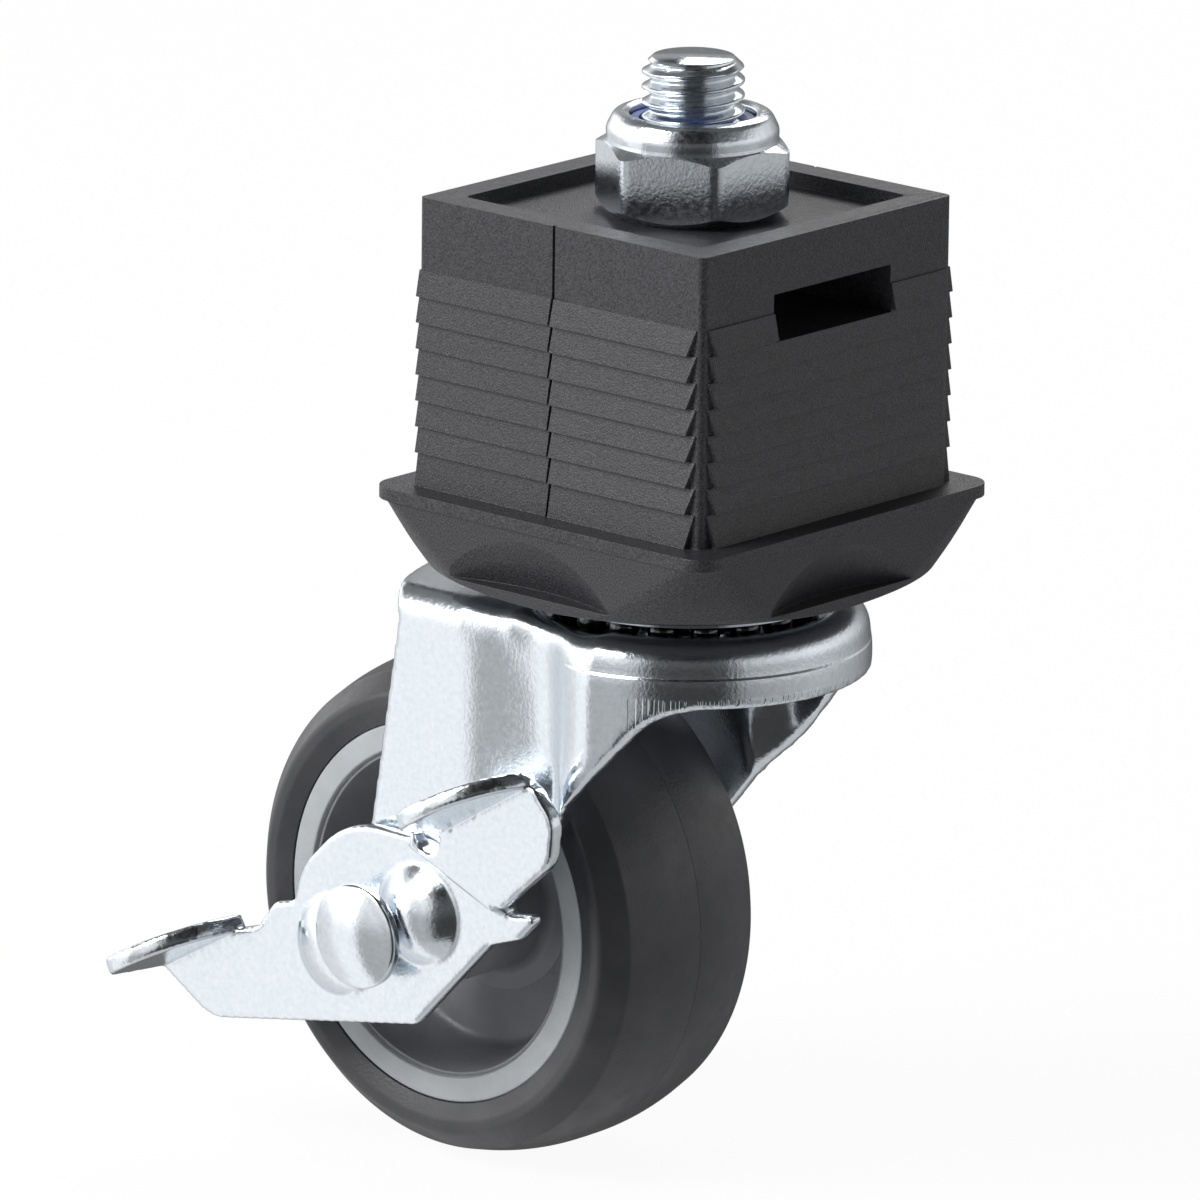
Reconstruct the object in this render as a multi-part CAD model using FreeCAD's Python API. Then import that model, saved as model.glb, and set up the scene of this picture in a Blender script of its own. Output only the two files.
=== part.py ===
"""Braked swivel castor on a ribbed square-tube plug.

An M10 stem runs up through the castor's ball race and through a black moulded
plug, and a nylon-ring lock nut in the plug's top recess clamps the stack.
Millimetres, +Z up. The origin is at the plug's centre, on the ledge that the
end of the square tube rests on. The wheel trails along -X and the brake side
faces -Y.
"""
import FreeCAD, Part
import math
import os

V = FreeCAD.Vector
UP = V(0, 0, 1)
AXLE = V(0, 1, 0)

# Tube plug
PLUG_SIDE = 36.25
PLUG_TOP = 28.4
PLUG_CORNER = 0.7
RIM_WALL = 3.1
RECESS_DEPTH = 1.5
FIN_COUNT = 8
FIN_ZONE = 21.3
LAST_FIN = 3.3
FIN_TIP_TOP = 0.15
FIN_TIP_LOW = 0.75
FIN_END_TOP = 0.7
FIN_END_LOW = 1.45
FIN_ROOT = 0.4
FIN_SQUARE_SETBACK = 0.25
PARTING_X = -0.8
PARTING_WIDTH = 0.28
PARTING_DEPTH = 0.35
SLOT_WIDTH = 17.0
SLOT_LOW = 18.5
SLOT_TALL = 4.6
SLOT_SHIFT = 0.6
FLANGE_SIDE = 43.0
FLANGE_THICK = 9.2
FLANGE_BAND = 1.25
FLANGE_BAND_STEP = 0.25
FLANGE_CORNER = 2.8
FLANGE_SWEEP = ((1.15, 3.1), (3.1, 6.0), (4.9, 8.7), (7.0, 12.3), (9.4, 16.4))
FLANGE_FLAT_R = 19.0
FLANGE_FOOT_R = 25.0
FLANGE_FOOT_Z = 7.4
SCALLOP_R = 14.1
SCALLOP_CENTRE_Z = 16.4
SCALLOP_LOW = 7.4
SCALLOP_DEPTH = 2.3
SCALLOP_SHIFT = -1.1

# Stem and lock nut, M10
STEM_R = 4.95
STEM_TOP = 42.15
STEM_CHAMFER = 0.9
STEM_SLACK = 0.6
STEM_OFF = 0.39
NUT_FLATS = 17.0
NUT_TALL = 10.0
NUT_HEX_TALL = 7.0
NUT_COLLAR_R = 8.35
NUT_MOUTH_R = 6.1
NUT_TURN = -33.9
NYLON_TALL = 2.0
BOLT_HEAD_FLATS = 16.0
BOLT_HEAD_TALL = 1.8
NUT_LIP = 1.2
NYLON_SEAT = 0.6

# Swivel head
SHEET = 2.0
CROWN_R = 18.05
CROWN_TOP = -11.4
SKIRT_LOW = -18.0
SKIRT_STEP = 0.2
SKIRT_STEP_Z = -14.9
CROWN_ROUND = 2.6
SIDE_ROUND = 1.1
HEAD_DEEP = 60.0
LIP_R = 14.35
PAN_DROP = 1.6
PAN_R = 16.6
PAN_BORE = 7.6
BACK_R = 28.2
BALL_R = 1.5
BALL_COUNT = 18
BALL_PITCH_TOP = 11.6
BALL_PITCH_LOW = 10.6
BALL_PLAY = 0.05
GROOVE_DEPTH = 0.4
RACE_SHEET = 1.2
RACE_EDGE = 1.1
CUP_EDGE = 1.3
CUP_RIM = 1.0
SLEEVE_R = 7.2
SLEEVE_BORE_PLAY = 0.1

# Fork legs
LEG_OUT = 16.5
LEG_TOP_BACK = -22.8
LEG_MID_BACK = -26.3
LEG_MID_DROP = 36.0
LEG_END_R = 7.6
LEG_FRONT_X = 9.6
LEG_FRONT_ROUND = 8.0
CREASE_X = -12.5
PANEL_X = -10.6
PANEL_OUT = 15.9
FOOT_X = -3.6
FOOT_OUT = 15.5
GUSSET_R = 4.0
GUSSET_START = 85.0
GUSSET_TURN = 33.0
CAM_R = 1.1
CAM_TALL = 0.9

# Wheel
TRAIL = 22.85
AXLE_DROP = 45.6
TYRE_R = 25.3
TYRE_HALF = 11.7
TYRE_SIDE_R = 21.0
TYRE_BULGE_R = 22.75
TYRE_BULGE_HALF = 10.45
SHOULDER_R = 23.95
SHOULDER_HALF = 8.9
SHOULDER_STEP = 0.18
RING_R = 19.05
RING_INNER_R = 16.45
RING_HALF = 10.4
CORE_WALL = 2.6
DISH_FLOOR_R = 14.6
DISH_FLOOR = 3.2
DISH_STEP_R = 9.3
DISH_STEP = 1.7
WEB_CLEAR = 1.0
HUB_R = 6.4
HUB_HALF = 13.9
BUSH_WALL = 1.0
RUN_PLAY = 0.06

# Axle, M6
AXLE_R = 3.0
AXLE_HOLE_PLAY = 0.05
AXLE_SLEEVE_R = 4.2
AXLE_HEAD_R = 5.2
AXLE_HEAD_RIM = 0.9
AXLE_HEAD_DOME = 1.2
AXLE_HEAD_GAP = 2.6
AXLE_NUT_FLATS = 10.0
AXLE_NUT_TALL = 5.0
AXLE_END = 1.0
WASHER_R = 6.0
WASHER_THICK = 1.0
THRUST_R = 5.0

# Brake lever
LEVER_SHEET = 1.5
LEVER_GAP = 0.7
DOME_R = 5.0
DOME_TALL = 2.4
DOME_OFFSET = 6.0
DOME_ANGLE = 26.0
DOME_WALL = 1.2
WING_STEP = 2.6
WING_RUN = 2.9
NOTCH_R = 1.7
NOTCH_X = 8.5
NOTCH_Z = 11.6
FRONT_PAD_OUT = 6.7
REAR_PAD_OUT = 7.8
FRONT_PAD_LEAN = 11.0
REAR_PAD_LEAN = 5.0
TINY = 0.02

STEM_AXIS = V(STEM_OFF, STEM_OFF, 0)
WHEEL_CENTRE = STEM_AXIS + V(-TRAIL, 0, -AXLE_DROP)
RECESS_FLOOR = PLUG_TOP - RECESS_DEPTH
PAN_TOP = CROWN_TOP - PAN_DROP
PAN_LOW = PAN_TOP - SHEET
LEG_IN = LEG_OUT - SHEET
SIDE_TOP = CROWN_TOP - CROWN_ROUND
LEVER_IN = LEG_OUT + LEVER_GAP
LEVER_FACE = LEVER_IN + LEVER_SHEET


def save(name, shape):
    """Write one sub-part and say how many solids it has."""
    clean = shape.removeSplitter()
    solids = clean.Solids
    if len(solids) == 1:
        clean = solids[0]
    else:
        clean = Part.makeCompound(solids)
    clean.exportStep("parts/" + name + ".step")
    print(name, len(solids), round(clean.Volume, 1), clean.isValid())


def cylinder(radius, low, high, centre=V(0, 0, 0)):
    """Upright cylinder between two heights."""
    return Part.makeCylinder(radius, high - low, centre + V(0, 0, low), UP)


def box(x0, x1, y0, y1, z0, z1):
    """Box between two corners."""
    return Part.makeBox(x1 - x0, y1 - y0, z1 - z0, V(x0, y0, z0))


def revolve_up(points):
    """Solid of revolution about Z from (radius, height) points."""
    wire = Part.makePolygon([V(r, 0, z) for r, z in points] + [V(points[0][0], 0, points[0][1])])
    return Part.Face(wire).revolve(V(0, 0, 0), UP, 360)


def revolve_axle(points):
    """Solid of revolution about Y from (radius, y) points."""
    wire = Part.makePolygon([V(r, y, 0) for r, y in points] + [V(points[0][0], points[0][1], 0)])
    return Part.Face(wire).revolve(V(0, 0, 0), AXLE, 360)


def hexagon(flats, low, high, turn=0.0):
    """Hexagonal prism about Z, first corner at the given angle."""
    reach = flats / math.sqrt(3.0)
    points = []
    for corner in range(7):
        angle = math.radians(turn + 60.0 * corner)
        points.append(V(reach * math.cos(angle), reach * math.sin(angle), low))
    return Part.Face(Part.makePolygon(points)).extrude(V(0, 0, high - low))


def rounded_square(side, corner, low, high):
    """Square prism with rounded upright edges."""
    half = side / 2.0
    prism = box(-half, half, -half, half, low, high)
    upright = [e for e in prism.Edges if abs(e.BoundBox.ZLength - (high - low)) < TINY]
    return prism.makeFillet(corner, upright)


def rounded_outline(points):
    """Closed edge list through (x, z, radius) corners, in the plane y = 0."""
    edges = []
    count = len(points)
    tangent = []
    for index in range(count):
        here = V(points[index][0], 0, points[index][1])
        before = V(points[index - 1][0], 0, points[index - 1][1])
        after = V(points[(index + 1) % count][0], 0, points[(index + 1) % count][1])
        radius = points[index][2]
        back = (before - here).normalize()
        ahead = (after - here).normalize()
        if radius <= 0:
            tangent.append((here, None, here))
            continue
        half = back.getAngle(ahead) / 2.0
        reach = radius / math.tan(half)
        middle = (back + ahead).normalize()
        centre = here + middle * (radius / math.sin(half))
        tangent.append((here + back * reach, centre - middle * radius, here + ahead * reach))
    for index in range(count):
        start, crown, end = tangent[index]
        if crown is not None:
            edges.append(Part.Arc(start, crown, end).toShape())
        following = tangent[(index + 1) % count][0]
        if (following - end).Length > 1e-6:
            edges.append(Part.LineSegment(end, following).toShape())
    return Part.Wire(edges)


def plate_between(points, y0, y1):
    """Flat plate of a rounded outline in the XZ plane, from y0 to y1."""
    face = Part.Face(rounded_outline(points))
    face.translate(V(0, y0, 0))
    return face.extrude(V(0, y1 - y0, 0))


def fin(low, high, start, end, tip_top, tip_low, square_start=False):
    """One barb on the -Y face from x = start to x = end.

    It is narrow at the top and juts out at its lower edge. An end at a corner
    of the plug is cut back on a slant, or ends square just before the corner.
    """
    half = PLUG_SIDE / 2.0
    rings = []
    for height, tip, cut in ((low, tip_low, FIN_END_LOW), (high, tip_top, FIN_END_TOP)):
        x0 = start
        x1 = end
        if start <= -half + TINY:
            x0 = start + (FIN_SQUARE_SETBACK if square_start else cut)
        if end >= half - TINY:
            x1 = end - cut
        inner = -half + FIN_ROOT
        outer = -half - tip
        ring = [V(x0, inner, height), V(x1, inner, height), V(x1, outer, height), V(x0, outer, height)]
        rings.append(Part.makePolygon(ring + [ring[0]]))
    return Part.makeLoft(rings, True, True)


def fin_levels():
    """Lower and upper height of every fin, from the ledge up."""
    pitch = (FIN_ZONE - LAST_FIN) / (FIN_COUNT - 1)
    levels = [(0.0, LAST_FIN)]
    for index in range(FIN_COUNT - 1):
        low = LAST_FIN + index * pitch
        levels.append((low, low + pitch))
    return levels


def fin_faces():
    """Fins on all four faces; the two faces with the mould line have them in halves."""
    half = PLUG_SIDE / 2.0
    fins = []
    for low, high in fin_levels():
        left = fin(low, high, -half, PARTING_X, FIN_TIP_TOP, FIN_TIP_LOW - 0.1, True)
        right = fin(low, high, PARTING_X, half, FIN_TIP_TOP, FIN_TIP_LOW)
        whole = fin(low, high, -half, half, FIN_TIP_TOP, FIN_TIP_LOW)
        for piece, turn in ((left, 0), (right, 0), (left, 180), (right, 180), (whole, 90), (whole, -90)):
            side = piece.copy()
            side.rotate(V(0, 0, 0), UP, turn)
            fins.append(side)
    return fins


def corner_section(side, corner, height):
    """Closed outline of a square with rounded corners, lying at one height."""
    flat = side / 2.0 - corner
    bow = flat + corner / math.sqrt(2.0)
    edges = []
    for turn in range(4):
        angle = 90.0 * turn
        start = V(side / 2.0, -flat, height)
        end = V(side / 2.0, flat, height)
        crown = V(bow, bow, height)
        after = V(flat, side / 2.0, height)
        for piece in (Part.LineSegment(start, end).toShape(), Part.Arc(end, crown, after).toShape()):
            piece.rotate(V(0, 0, 0), UP, angle)
            edges.append(piece)
    return Part.Wire(edges)


def flange_blank():
    """Square flange with flat sides, whose corners are rounded more and more towards the foot."""
    band = rounded_square(FLANGE_SIDE, FLANGE_CORNER, -FLANGE_BAND, 0.0)
    lower = FLANGE_SIDE - 2.0 * FLANGE_BAND_STEP
    sections = [corner_section(lower, corner, -depth) for depth, corner in FLANGE_SWEEP]
    swept = Part.makeLoft(sections, True, False)
    rise = (FLANGE_THICK - FLANGE_FOOT_Z) / (FLANGE_FOOT_R - FLANGE_FLAT_R)
    outer = FLANGE_SIDE * 0.75
    outer_z = (outer - FLANGE_FOOT_R) * rise - FLANGE_FOOT_Z
    under = revolve_up([(0, 1), (outer, 1), (outer, outer_z), (FLANGE_FLAT_R, -FLANGE_THICK),
                        (0, -FLANGE_THICK)])
    return band.fuse(swept.common(under))


def scallop():
    """Ball-shaped thumb dish in the -Y side of the flange, arched above and with a flat floor."""
    face = FLANGE_SIDE / 2.0 - FLANGE_BAND_STEP
    above = SCALLOP_CENTRE_Z - SCALLOP_LOW
    chord = SCALLOP_R ** 2 - above ** 2
    back = (chord - SCALLOP_DEPTH ** 2) / (2.0 * SCALLOP_DEPTH)
    sphere_r = math.sqrt(back ** 2 + SCALLOP_R ** 2)
    ball = Part.makeSphere(sphere_r, V(SCALLOP_SHIFT, -face - back, -SCALLOP_CENTRE_Z))
    zone = box(-face, face, -face - 2.0, -face + 2.0 * SCALLOP_DEPTH, -SCALLOP_LOW, -FLANGE_BAND)
    return ball.common(zone)


def tube_plug():
    """Black plug: rimmed head, barbed body, side slot and swept flange."""
    half = PLUG_SIDE / 2.0
    body = rounded_square(PLUG_SIDE, PLUG_CORNER, -FIN_ROOT, PLUG_TOP)
    body = body.fuse(fin_faces() + [flange_blank()])
    inner = PLUG_SIDE - 2.0 * RIM_WALL
    body = body.cut(rounded_square(inner, PLUG_CORNER, RECESS_FLOOR, PLUG_TOP + 1.0))
    slot_y = (SLOT_SHIFT - SLOT_WIDTH / 2.0, SLOT_SHIFT + SLOT_WIDTH / 2.0)
    cuts = [box(-half - 2, half + 2, slot_y[0], slot_y[1], SLOT_LOW, SLOT_LOW + SLOT_TALL)]
    cuts.append(cylinder(STEM_R + STEM_SLACK, -FLANGE_THICK - 1, PLUG_TOP, STEM_AXIS))
    cutter = scallop()
    for turn in (0, 90, 180, 270):
        relief = cutter.copy()
        relief.rotate(V(0, 0, 0), UP, turn)
        cuts.append(relief)
    for side in (-1, 1):
        near = side * (half - PARTING_DEPTH)
        far = side * (half + FIN_TIP_LOW + 1.0)
        left = -side * PARTING_X - PARTING_WIDTH / 2.0
        cuts.append(box(left, left + PARTING_WIDTH, min(near, far), max(near, far), 0.0, PLUG_TOP + 1))
    return body.cut(cuts)


def stem_bolt():
    """M10 screw, head under the race and plain shank in place of its fine thread."""
    seat = race_seat_low()
    points = [(0, seat), (STEM_R, seat), (STEM_R, STEM_TOP - STEM_CHAMFER)]
    points += [(STEM_R - STEM_CHAMFER, STEM_TOP), (0, STEM_TOP)]
    shank = revolve_up(points)
    head = hexagon(BOLT_HEAD_FLATS, seat - BOLT_HEAD_TALL, seat)
    bolt = shank.fuse(head)
    bolt.translate(STEM_AXIS)
    return bolt


def lock_nut():
    """Hexagon lock nut with chamfered corners and a rolled collar."""
    reach = NUT_FLATS / math.sqrt(3.0)
    flat = NUT_FLATS / 2.0
    prism = hexagon(NUT_FLATS, 0, NUT_HEX_TALL + 0.3, NUT_TURN)
    rise = (reach - flat) * math.tan(math.radians(30))
    ends = revolve_up([(0, 0), (flat - 0.7, 0), (flat - 0.1, 0.5), (reach + 0.05, rise + 0.7),
                       (reach + 0.05, NUT_HEX_TALL - rise), (flat - 0.2, NUT_HEX_TALL + 0.3),
                       (0, NUT_HEX_TALL + 0.3)])
    nut = prism.common(ends)
    start = V(flat - 0.3, 0, NUT_HEX_TALL)
    shoulder = V(NUT_COLLAR_R, 0, NUT_TALL - 1.9)
    crown = V(NUT_COLLAR_R - 0.45, 0, NUT_TALL - 0.7)
    brim = V(NUT_MOUTH_R + 0.75, 0, NUT_TALL)
    mouth = V(NUT_MOUTH_R, 0, NUT_TALL - 0.25)
    edges = [Part.LineSegment(V(0, 0, NUT_HEX_TALL - 0.5), V(flat - 0.3, 0, NUT_HEX_TALL - 0.5)).toShape(),
             Part.LineSegment(V(flat - 0.3, 0, NUT_HEX_TALL - 0.5), start).toShape(),
             Part.LineSegment(start, shoulder).toShape(),
             Part.Arc(shoulder, crown, brim).toShape(),
             Part.LineSegment(brim, mouth).toShape(),
             Part.LineSegment(mouth, V(NUT_MOUTH_R, 0, NUT_TALL - NUT_LIP)).toShape(),
             Part.LineSegment(V(NUT_MOUTH_R, 0, NUT_TALL - NUT_LIP), V(0, 0, NUT_TALL - NUT_LIP)).toShape(),
             Part.LineSegment(V(0, 0, NUT_TALL - NUT_LIP), V(0, 0, NUT_HEX_TALL - 0.5)).toShape()]
    collar = Part.Face(Part.Wire(edges)).revolve(V(0, 0, 0), UP, 360)
    seat_low = NUT_TALL - NUT_LIP - NYLON_TALL
    bore = cylinder(STEM_R, -1, NUT_TALL + 1)
    seat = cylinder(NUT_MOUTH_R + NYLON_SEAT, seat_low, NUT_TALL - NUT_LIP)
    nut = nut.fuse(collar).cut([bore, seat])
    nut.translate(STEM_AXIS + V(0, 0, RECESS_FLOOR))
    return nut


def nylon_ring():
    """Blue nylon locking ring held under the collar's lip."""
    low = NUT_TALL - NUT_LIP - NYLON_TALL
    high = low + NYLON_TALL
    seat_r = NUT_MOUTH_R + NYLON_SEAT
    points = [(STEM_R, low), (seat_r, low), (seat_r, high), (NUT_MOUTH_R, high),
              (NUT_MOUTH_R - 0.15, high + 0.4), (STEM_R + 0.25, high + 0.4), (STEM_R, high)]
    ring = revolve_up(points)
    ring.translate(STEM_AXIS + V(0, 0, RECESS_FLOOR))
    return ring


def top_ball_height():
    """Height of the upper balls' centres, just clear of the groove in the pan."""
    return PAN_TOP - GROOVE_DEPTH + BALL_PLAY + BALL_R


def low_ball_height():
    """Height of the lower balls' centres, just clear of the groove under the pan."""
    return PAN_LOW + GROOVE_DEPTH - BALL_PLAY - BALL_R


def race_seat_low():
    """Lower face of the bottom race, where the bolt head bears."""
    return low_ball_height() - BALL_R + GROOVE_DEPTH - RACE_SHEET


def groove(pitch, height):
    """Ring-shaped ball groove, a little larger than the balls."""
    return Part.makeTorus(pitch, BALL_R + BALL_PLAY, V(0, 0, height), UP)


def upper_race():
    """Pressed washer under the flange that the upper balls run in."""
    height = top_ball_height()
    low = height + BALL_R - GROOVE_DEPTH
    outer = BALL_PITCH_TOP + BALL_R + RACE_EDGE
    bore = STEM_R + SLEEVE_BORE_PLAY
    race = revolve_up([(bore, low), (outer, low), (outer, -FLANGE_THICK), (bore, -FLANGE_THICK)])
    race = race.cut(groove(BALL_PITCH_TOP, height))
    race.translate(STEM_AXIS)
    return race


def lower_race():
    """Pressed cup under the head that carries the lower balls, with an upturned rim."""
    height = low_ball_height()
    low = race_seat_low()
    outer = BALL_PITCH_LOW + BALL_R + CUP_EDGE
    inner = outer - CUP_RIM
    bore = STEM_R + SLEEVE_BORE_PLAY
    floor = low + RACE_SHEET
    race = revolve_up([(bore, low), (outer, low), (outer, height), (inner, height), (inner, floor),
                       (bore, floor)])
    race = race.cut(groove(BALL_PITCH_LOW, height))
    race.translate(STEM_AXIS)
    return race


def race_sleeve():
    """Spacer that the stem clamps between the two races, so that the head stays free."""
    low = race_seat_low() + RACE_SHEET
    high = top_ball_height() + BALL_R - GROOVE_DEPTH
    sleeve = cylinder(SLEEVE_R, low, high).cut(cylinder(STEM_R + SLEEVE_BORE_PLAY, low - 1, high + 1))
    sleeve.translate(STEM_AXIS)
    return sleeve


def balls(pitch, height):
    """One row of loose balls."""
    row = []
    for index in range(BALL_COUNT):
        angle = 2.0 * math.pi * index / BALL_COUNT
        row.append(Part.makeSphere(BALL_R, V(pitch * math.cos(angle), pitch * math.sin(angle), height)))
    ring = Part.makeCompound(row)
    ring.translate(STEM_AXIS)
    return ring


def head_plan():
    """Plan outline of the pressed head: round nose, gussets, leg faces and round back."""
    start = math.radians(GUSSET_START)
    turned = math.radians(90.0 + GUSSET_TURN)
    nose = CROWN_R - GUSSET_R
    blend = V(nose * math.cos(start), -nose * math.sin(start), 0)
    on_nose = V(CROWN_R * math.cos(start), -CROWN_R * math.sin(start), 0)
    off_nose = blend + V(math.cos(turned), -math.sin(turned), 0) * GUSSET_R
    middle = math.radians((GUSSET_START + 90.0 + GUSSET_TURN) / 2.0)
    on_blend = blend + V(math.cos(middle), -math.sin(middle), 0) * GUSSET_R
    foot = V(FOOT_X, -FOOT_OUT, 0)
    panel = V(PANEL_X, -PANEL_OUT, 0)
    crease = V(CREASE_X, -LEG_OUT, 0)
    back_x = -math.sqrt(BACK_R ** 2 - LEG_OUT ** 2)
    back = V(back_x, -LEG_OUT, 0)
    side = [on_nose, off_nose, foot, panel, crease, back]
    far_nose = V(on_nose.x, -on_nose.y, 0)
    edges = [Part.Arc(far_nose, V(CROWN_R, 0, 0), on_nose).toShape(),
             Part.Arc(on_nose, on_blend, off_nose).toShape()]
    for here, there in zip(side[1:-1], side[2:]):
        edges.append(Part.LineSegment(here, there).toShape())
    edges.append(Part.Arc(back, V(-BACK_R, 0, 0), V(back_x, LEG_OUT, 0)).toShape())
    mirrored = [V(p.x, -p.y, 0) for p in side]
    for here, there in zip(reversed(mirrored[2:]), reversed(mirrored[1:-1])):
        edges.append(Part.LineSegment(here, there).toShape())
    edges.append(Part.Arc(mirrored[1], V(on_blend.x, -on_blend.y, 0), mirrored[0]).toShape())
    return Part.Wire(edges)


def leg_side(low):
    """Side outline of a leg as (x, z, radius) corners, tangent to the round end at the axle."""
    centre = (-TRAIL, -AXLE_DROP)
    reach = LEG_END_R / math.sqrt(2.0)
    return [(LEG_TOP_BACK, SIDE_TOP, 0), (LEG_MID_BACK, -LEG_MID_DROP, 4.0),
            (centre[0] - LEG_END_R, centre[1] + 1.0, 3.0),
            (centre[0] - LEG_END_R * 0.8, centre[1] - LEG_END_R, LEG_END_R * 0.6),
            (centre[0] + reach + 0.8, centre[1] - LEG_END_R, LEG_END_R * 0.6),
            (centre[0] + LEG_END_R + 0.6, centre[1] - 0.5, 5.0),
            (LEG_FRONT_X, SKIRT_LOW, LEG_FRONT_ROUND), (low, SKIRT_LOW, 0), (low, SIDE_TOP, 0)]


def rounded_top(shape, keep, radius):
    """Round the top rim of a block where the test says so."""
    rim = [e for e in shape.Edges if e.BoundBox.ZLength < TINY and abs(e.BoundBox.ZMax - CROWN_TOP) < TINY]
    return shape.makeFillet(radius, [e for e in rim if keep(e.BoundBox)])


def head_block():
    """Outside of the head: the plan outline, cut by a round crown and rounded leg tops."""
    outline = Part.Face(head_plan())
    outline.translate(V(0, 0, CROWN_TOP))
    outline = outline.extrude(V(0, 0, -HEAD_DEEP))
    outline = rounded_top(outline, lambda bounds: bounds.XMin > CREASE_X - 0.1, SIDE_ROUND)
    crown = cylinder(CROWN_R - SKIRT_STEP, CROWN_TOP - HEAD_DEEP, CROWN_TOP)
    crown = rounded_top(crown, lambda bounds: True, CROWN_ROUND)
    wide = CROWN_R + 1.0
    skirt = revolve_up([(0, CROWN_TOP - HEAD_DEEP), (wide, CROWN_TOP - HEAD_DEEP),
                        (wide, SKIRT_STEP_Z - SKIRT_STEP - 1.0), (CROWN_R - SKIRT_STEP, SKIRT_STEP_Z),
                        (0, SKIRT_STEP_Z)])
    rear = box(-BACK_R - 1, 0, -LEG_OUT, LEG_OUT, CROWN_TOP - HEAD_DEEP, CROWN_TOP)
    rear = rounded_top(rear, lambda bounds: bounds.YLength < TINY, CROWN_ROUND)
    return outline.common(crown.fuse([skirt, rear]))


def fork():
    """Pressed steel fork: crown with a sunk ball pan, skirt and two legs."""
    wide = CROWN_R + 1.0
    block = head_block()
    inner = Part.Face(head_plan()).makeOffset2D(-SHEET)
    inner.translate(V(0, 0, CROWN_TOP - SHEET))
    shell = block.cut(inner.extrude(V(0, 0, -HEAD_DEEP)))
    nose = box(CREASE_X, wide, -wide, wide, SKIRT_LOW, CROWN_TOP + 1)
    front = box(CREASE_X, wide, -wide, wide, -HEAD_DEEP - 1, SIDE_TOP)
    front_zone = plate_between(leg_side(wide), -wide, wide).common(front).fuse(nose)
    rear_zone = box(-BACK_R - 1, CREASE_X, -wide, wide, SIDE_TOP, CROWN_TOP + 1)
    rear_gap = box(-BACK_R - 2, CREASE_X, -LEG_IN, LEG_IN, SIDE_TOP - 1, CROWN_TOP - SHEET)
    pieces = [shell.common(rear_zone).cut(rear_gap)]
    for side in (-1, 1):
        near = min(side * LEG_IN, side * LEG_OUT)
        leg = plate_between(leg_side(CREASE_X + 1.0), near, near + SHEET)
        pieces.append(leg.common(box(-HEAD_DEEP, CREASE_X, near - 1, near + SHEET + 1, -2 * HEAD_DEEP, 0)))
    head = shell.common(front_zone).fuse(pieces)
    pan = cylinder(PAN_R, PAN_LOW, PAN_TOP).common(block)
    head = head.cut(cylinder(LIP_R, PAN_LOW, CROWN_TOP + 1)).fuse(pan)
    tools = [cylinder(PAN_BORE, PAN_LOW - 1, CROWN_TOP + 1)]
    tools.append(groove(BALL_PITCH_TOP, top_ball_height()))
    tools.append(groove(BALL_PITCH_LOW, low_ball_height()))
    head = head.cut(tools)
    cams = [cam_bump(angle) for angle in (DOME_ANGLE, DOME_ANGLE + 180.0)]
    hole = Part.makeCylinder(AXLE_R + AXLE_HOLE_PLAY, 4 * LEG_OUT, V(-TRAIL, -2 * LEG_OUT, -AXLE_DROP), AXLE)
    head = head.fuse(cams).cut(hole)
    head.translate(STEM_AXIS)
    return head


def cam_bump(angle):
    """Small coined bump on the brake side's leg that the lever's hollow dome rides over."""
    turn = math.radians(angle)
    centre = V(-TRAIL + DOME_OFFSET * math.cos(turn), -LEG_OUT, -AXLE_DROP + DOME_OFFSET * math.sin(turn))
    sphere_r = (CAM_R ** 2 + CAM_TALL ** 2) / (2.0 * CAM_TALL)
    ball = Part.makeSphere(sphere_r, centre + V(0, sphere_r - CAM_TALL, 0))
    keep = box(centre.x - 3, centre.x + 3, -LEG_OUT - 2, -LEG_OUT + 0.5, centre.z - 3, centre.z + 3)
    return ball.common(keep)


def axle_bolt():
    """M6 axle bolt with a low domed head on the brake side."""
    face = -(LEVER_FACE + AXLE_HEAD_GAP)
    far = LEG_OUT + WASHER_THICK + AXLE_NUT_TALL + AXLE_END
    rim = face - AXLE_HEAD_RIM
    top = rim - AXLE_HEAD_DOME
    dome_r = (AXLE_HEAD_R ** 2 + AXLE_HEAD_DOME ** 2) / (2.0 * AXLE_HEAD_DOME)
    half_turn = math.asin(AXLE_HEAD_R / dome_r) / 2.0
    middle_r = dome_r * math.sin(half_turn)
    middle_y = top + dome_r * (1.0 - math.cos(half_turn))
    edges = [Part.LineSegment(V(0, far, 0), V(AXLE_R - 0.5, far, 0)).toShape(),
             Part.LineSegment(V(AXLE_R - 0.5, far, 0), V(AXLE_R, far - 0.5, 0)).toShape(),
             Part.LineSegment(V(AXLE_R, far - 0.5, 0), V(AXLE_R, face, 0)).toShape(),
             Part.LineSegment(V(AXLE_R, face, 0), V(AXLE_HEAD_R - 0.25, face, 0)).toShape(),
             Part.LineSegment(V(AXLE_HEAD_R - 0.25, face, 0), V(AXLE_HEAD_R, face - 0.25, 0)).toShape(),
             Part.LineSegment(V(AXLE_HEAD_R, face - 0.25, 0), V(AXLE_HEAD_R, rim, 0)).toShape(),
             Part.Arc(V(AXLE_HEAD_R, rim, 0), V(middle_r, middle_y, 0), V(0, top, 0)).toShape(),
             Part.LineSegment(V(0, top, 0), V(0, far, 0)).toShape()]
    bolt = Part.Face(Part.Wire(edges)).revolve(V(0, 0, 0), AXLE, 360)
    bolt.translate(WHEEL_CENTRE)
    return bolt


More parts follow.
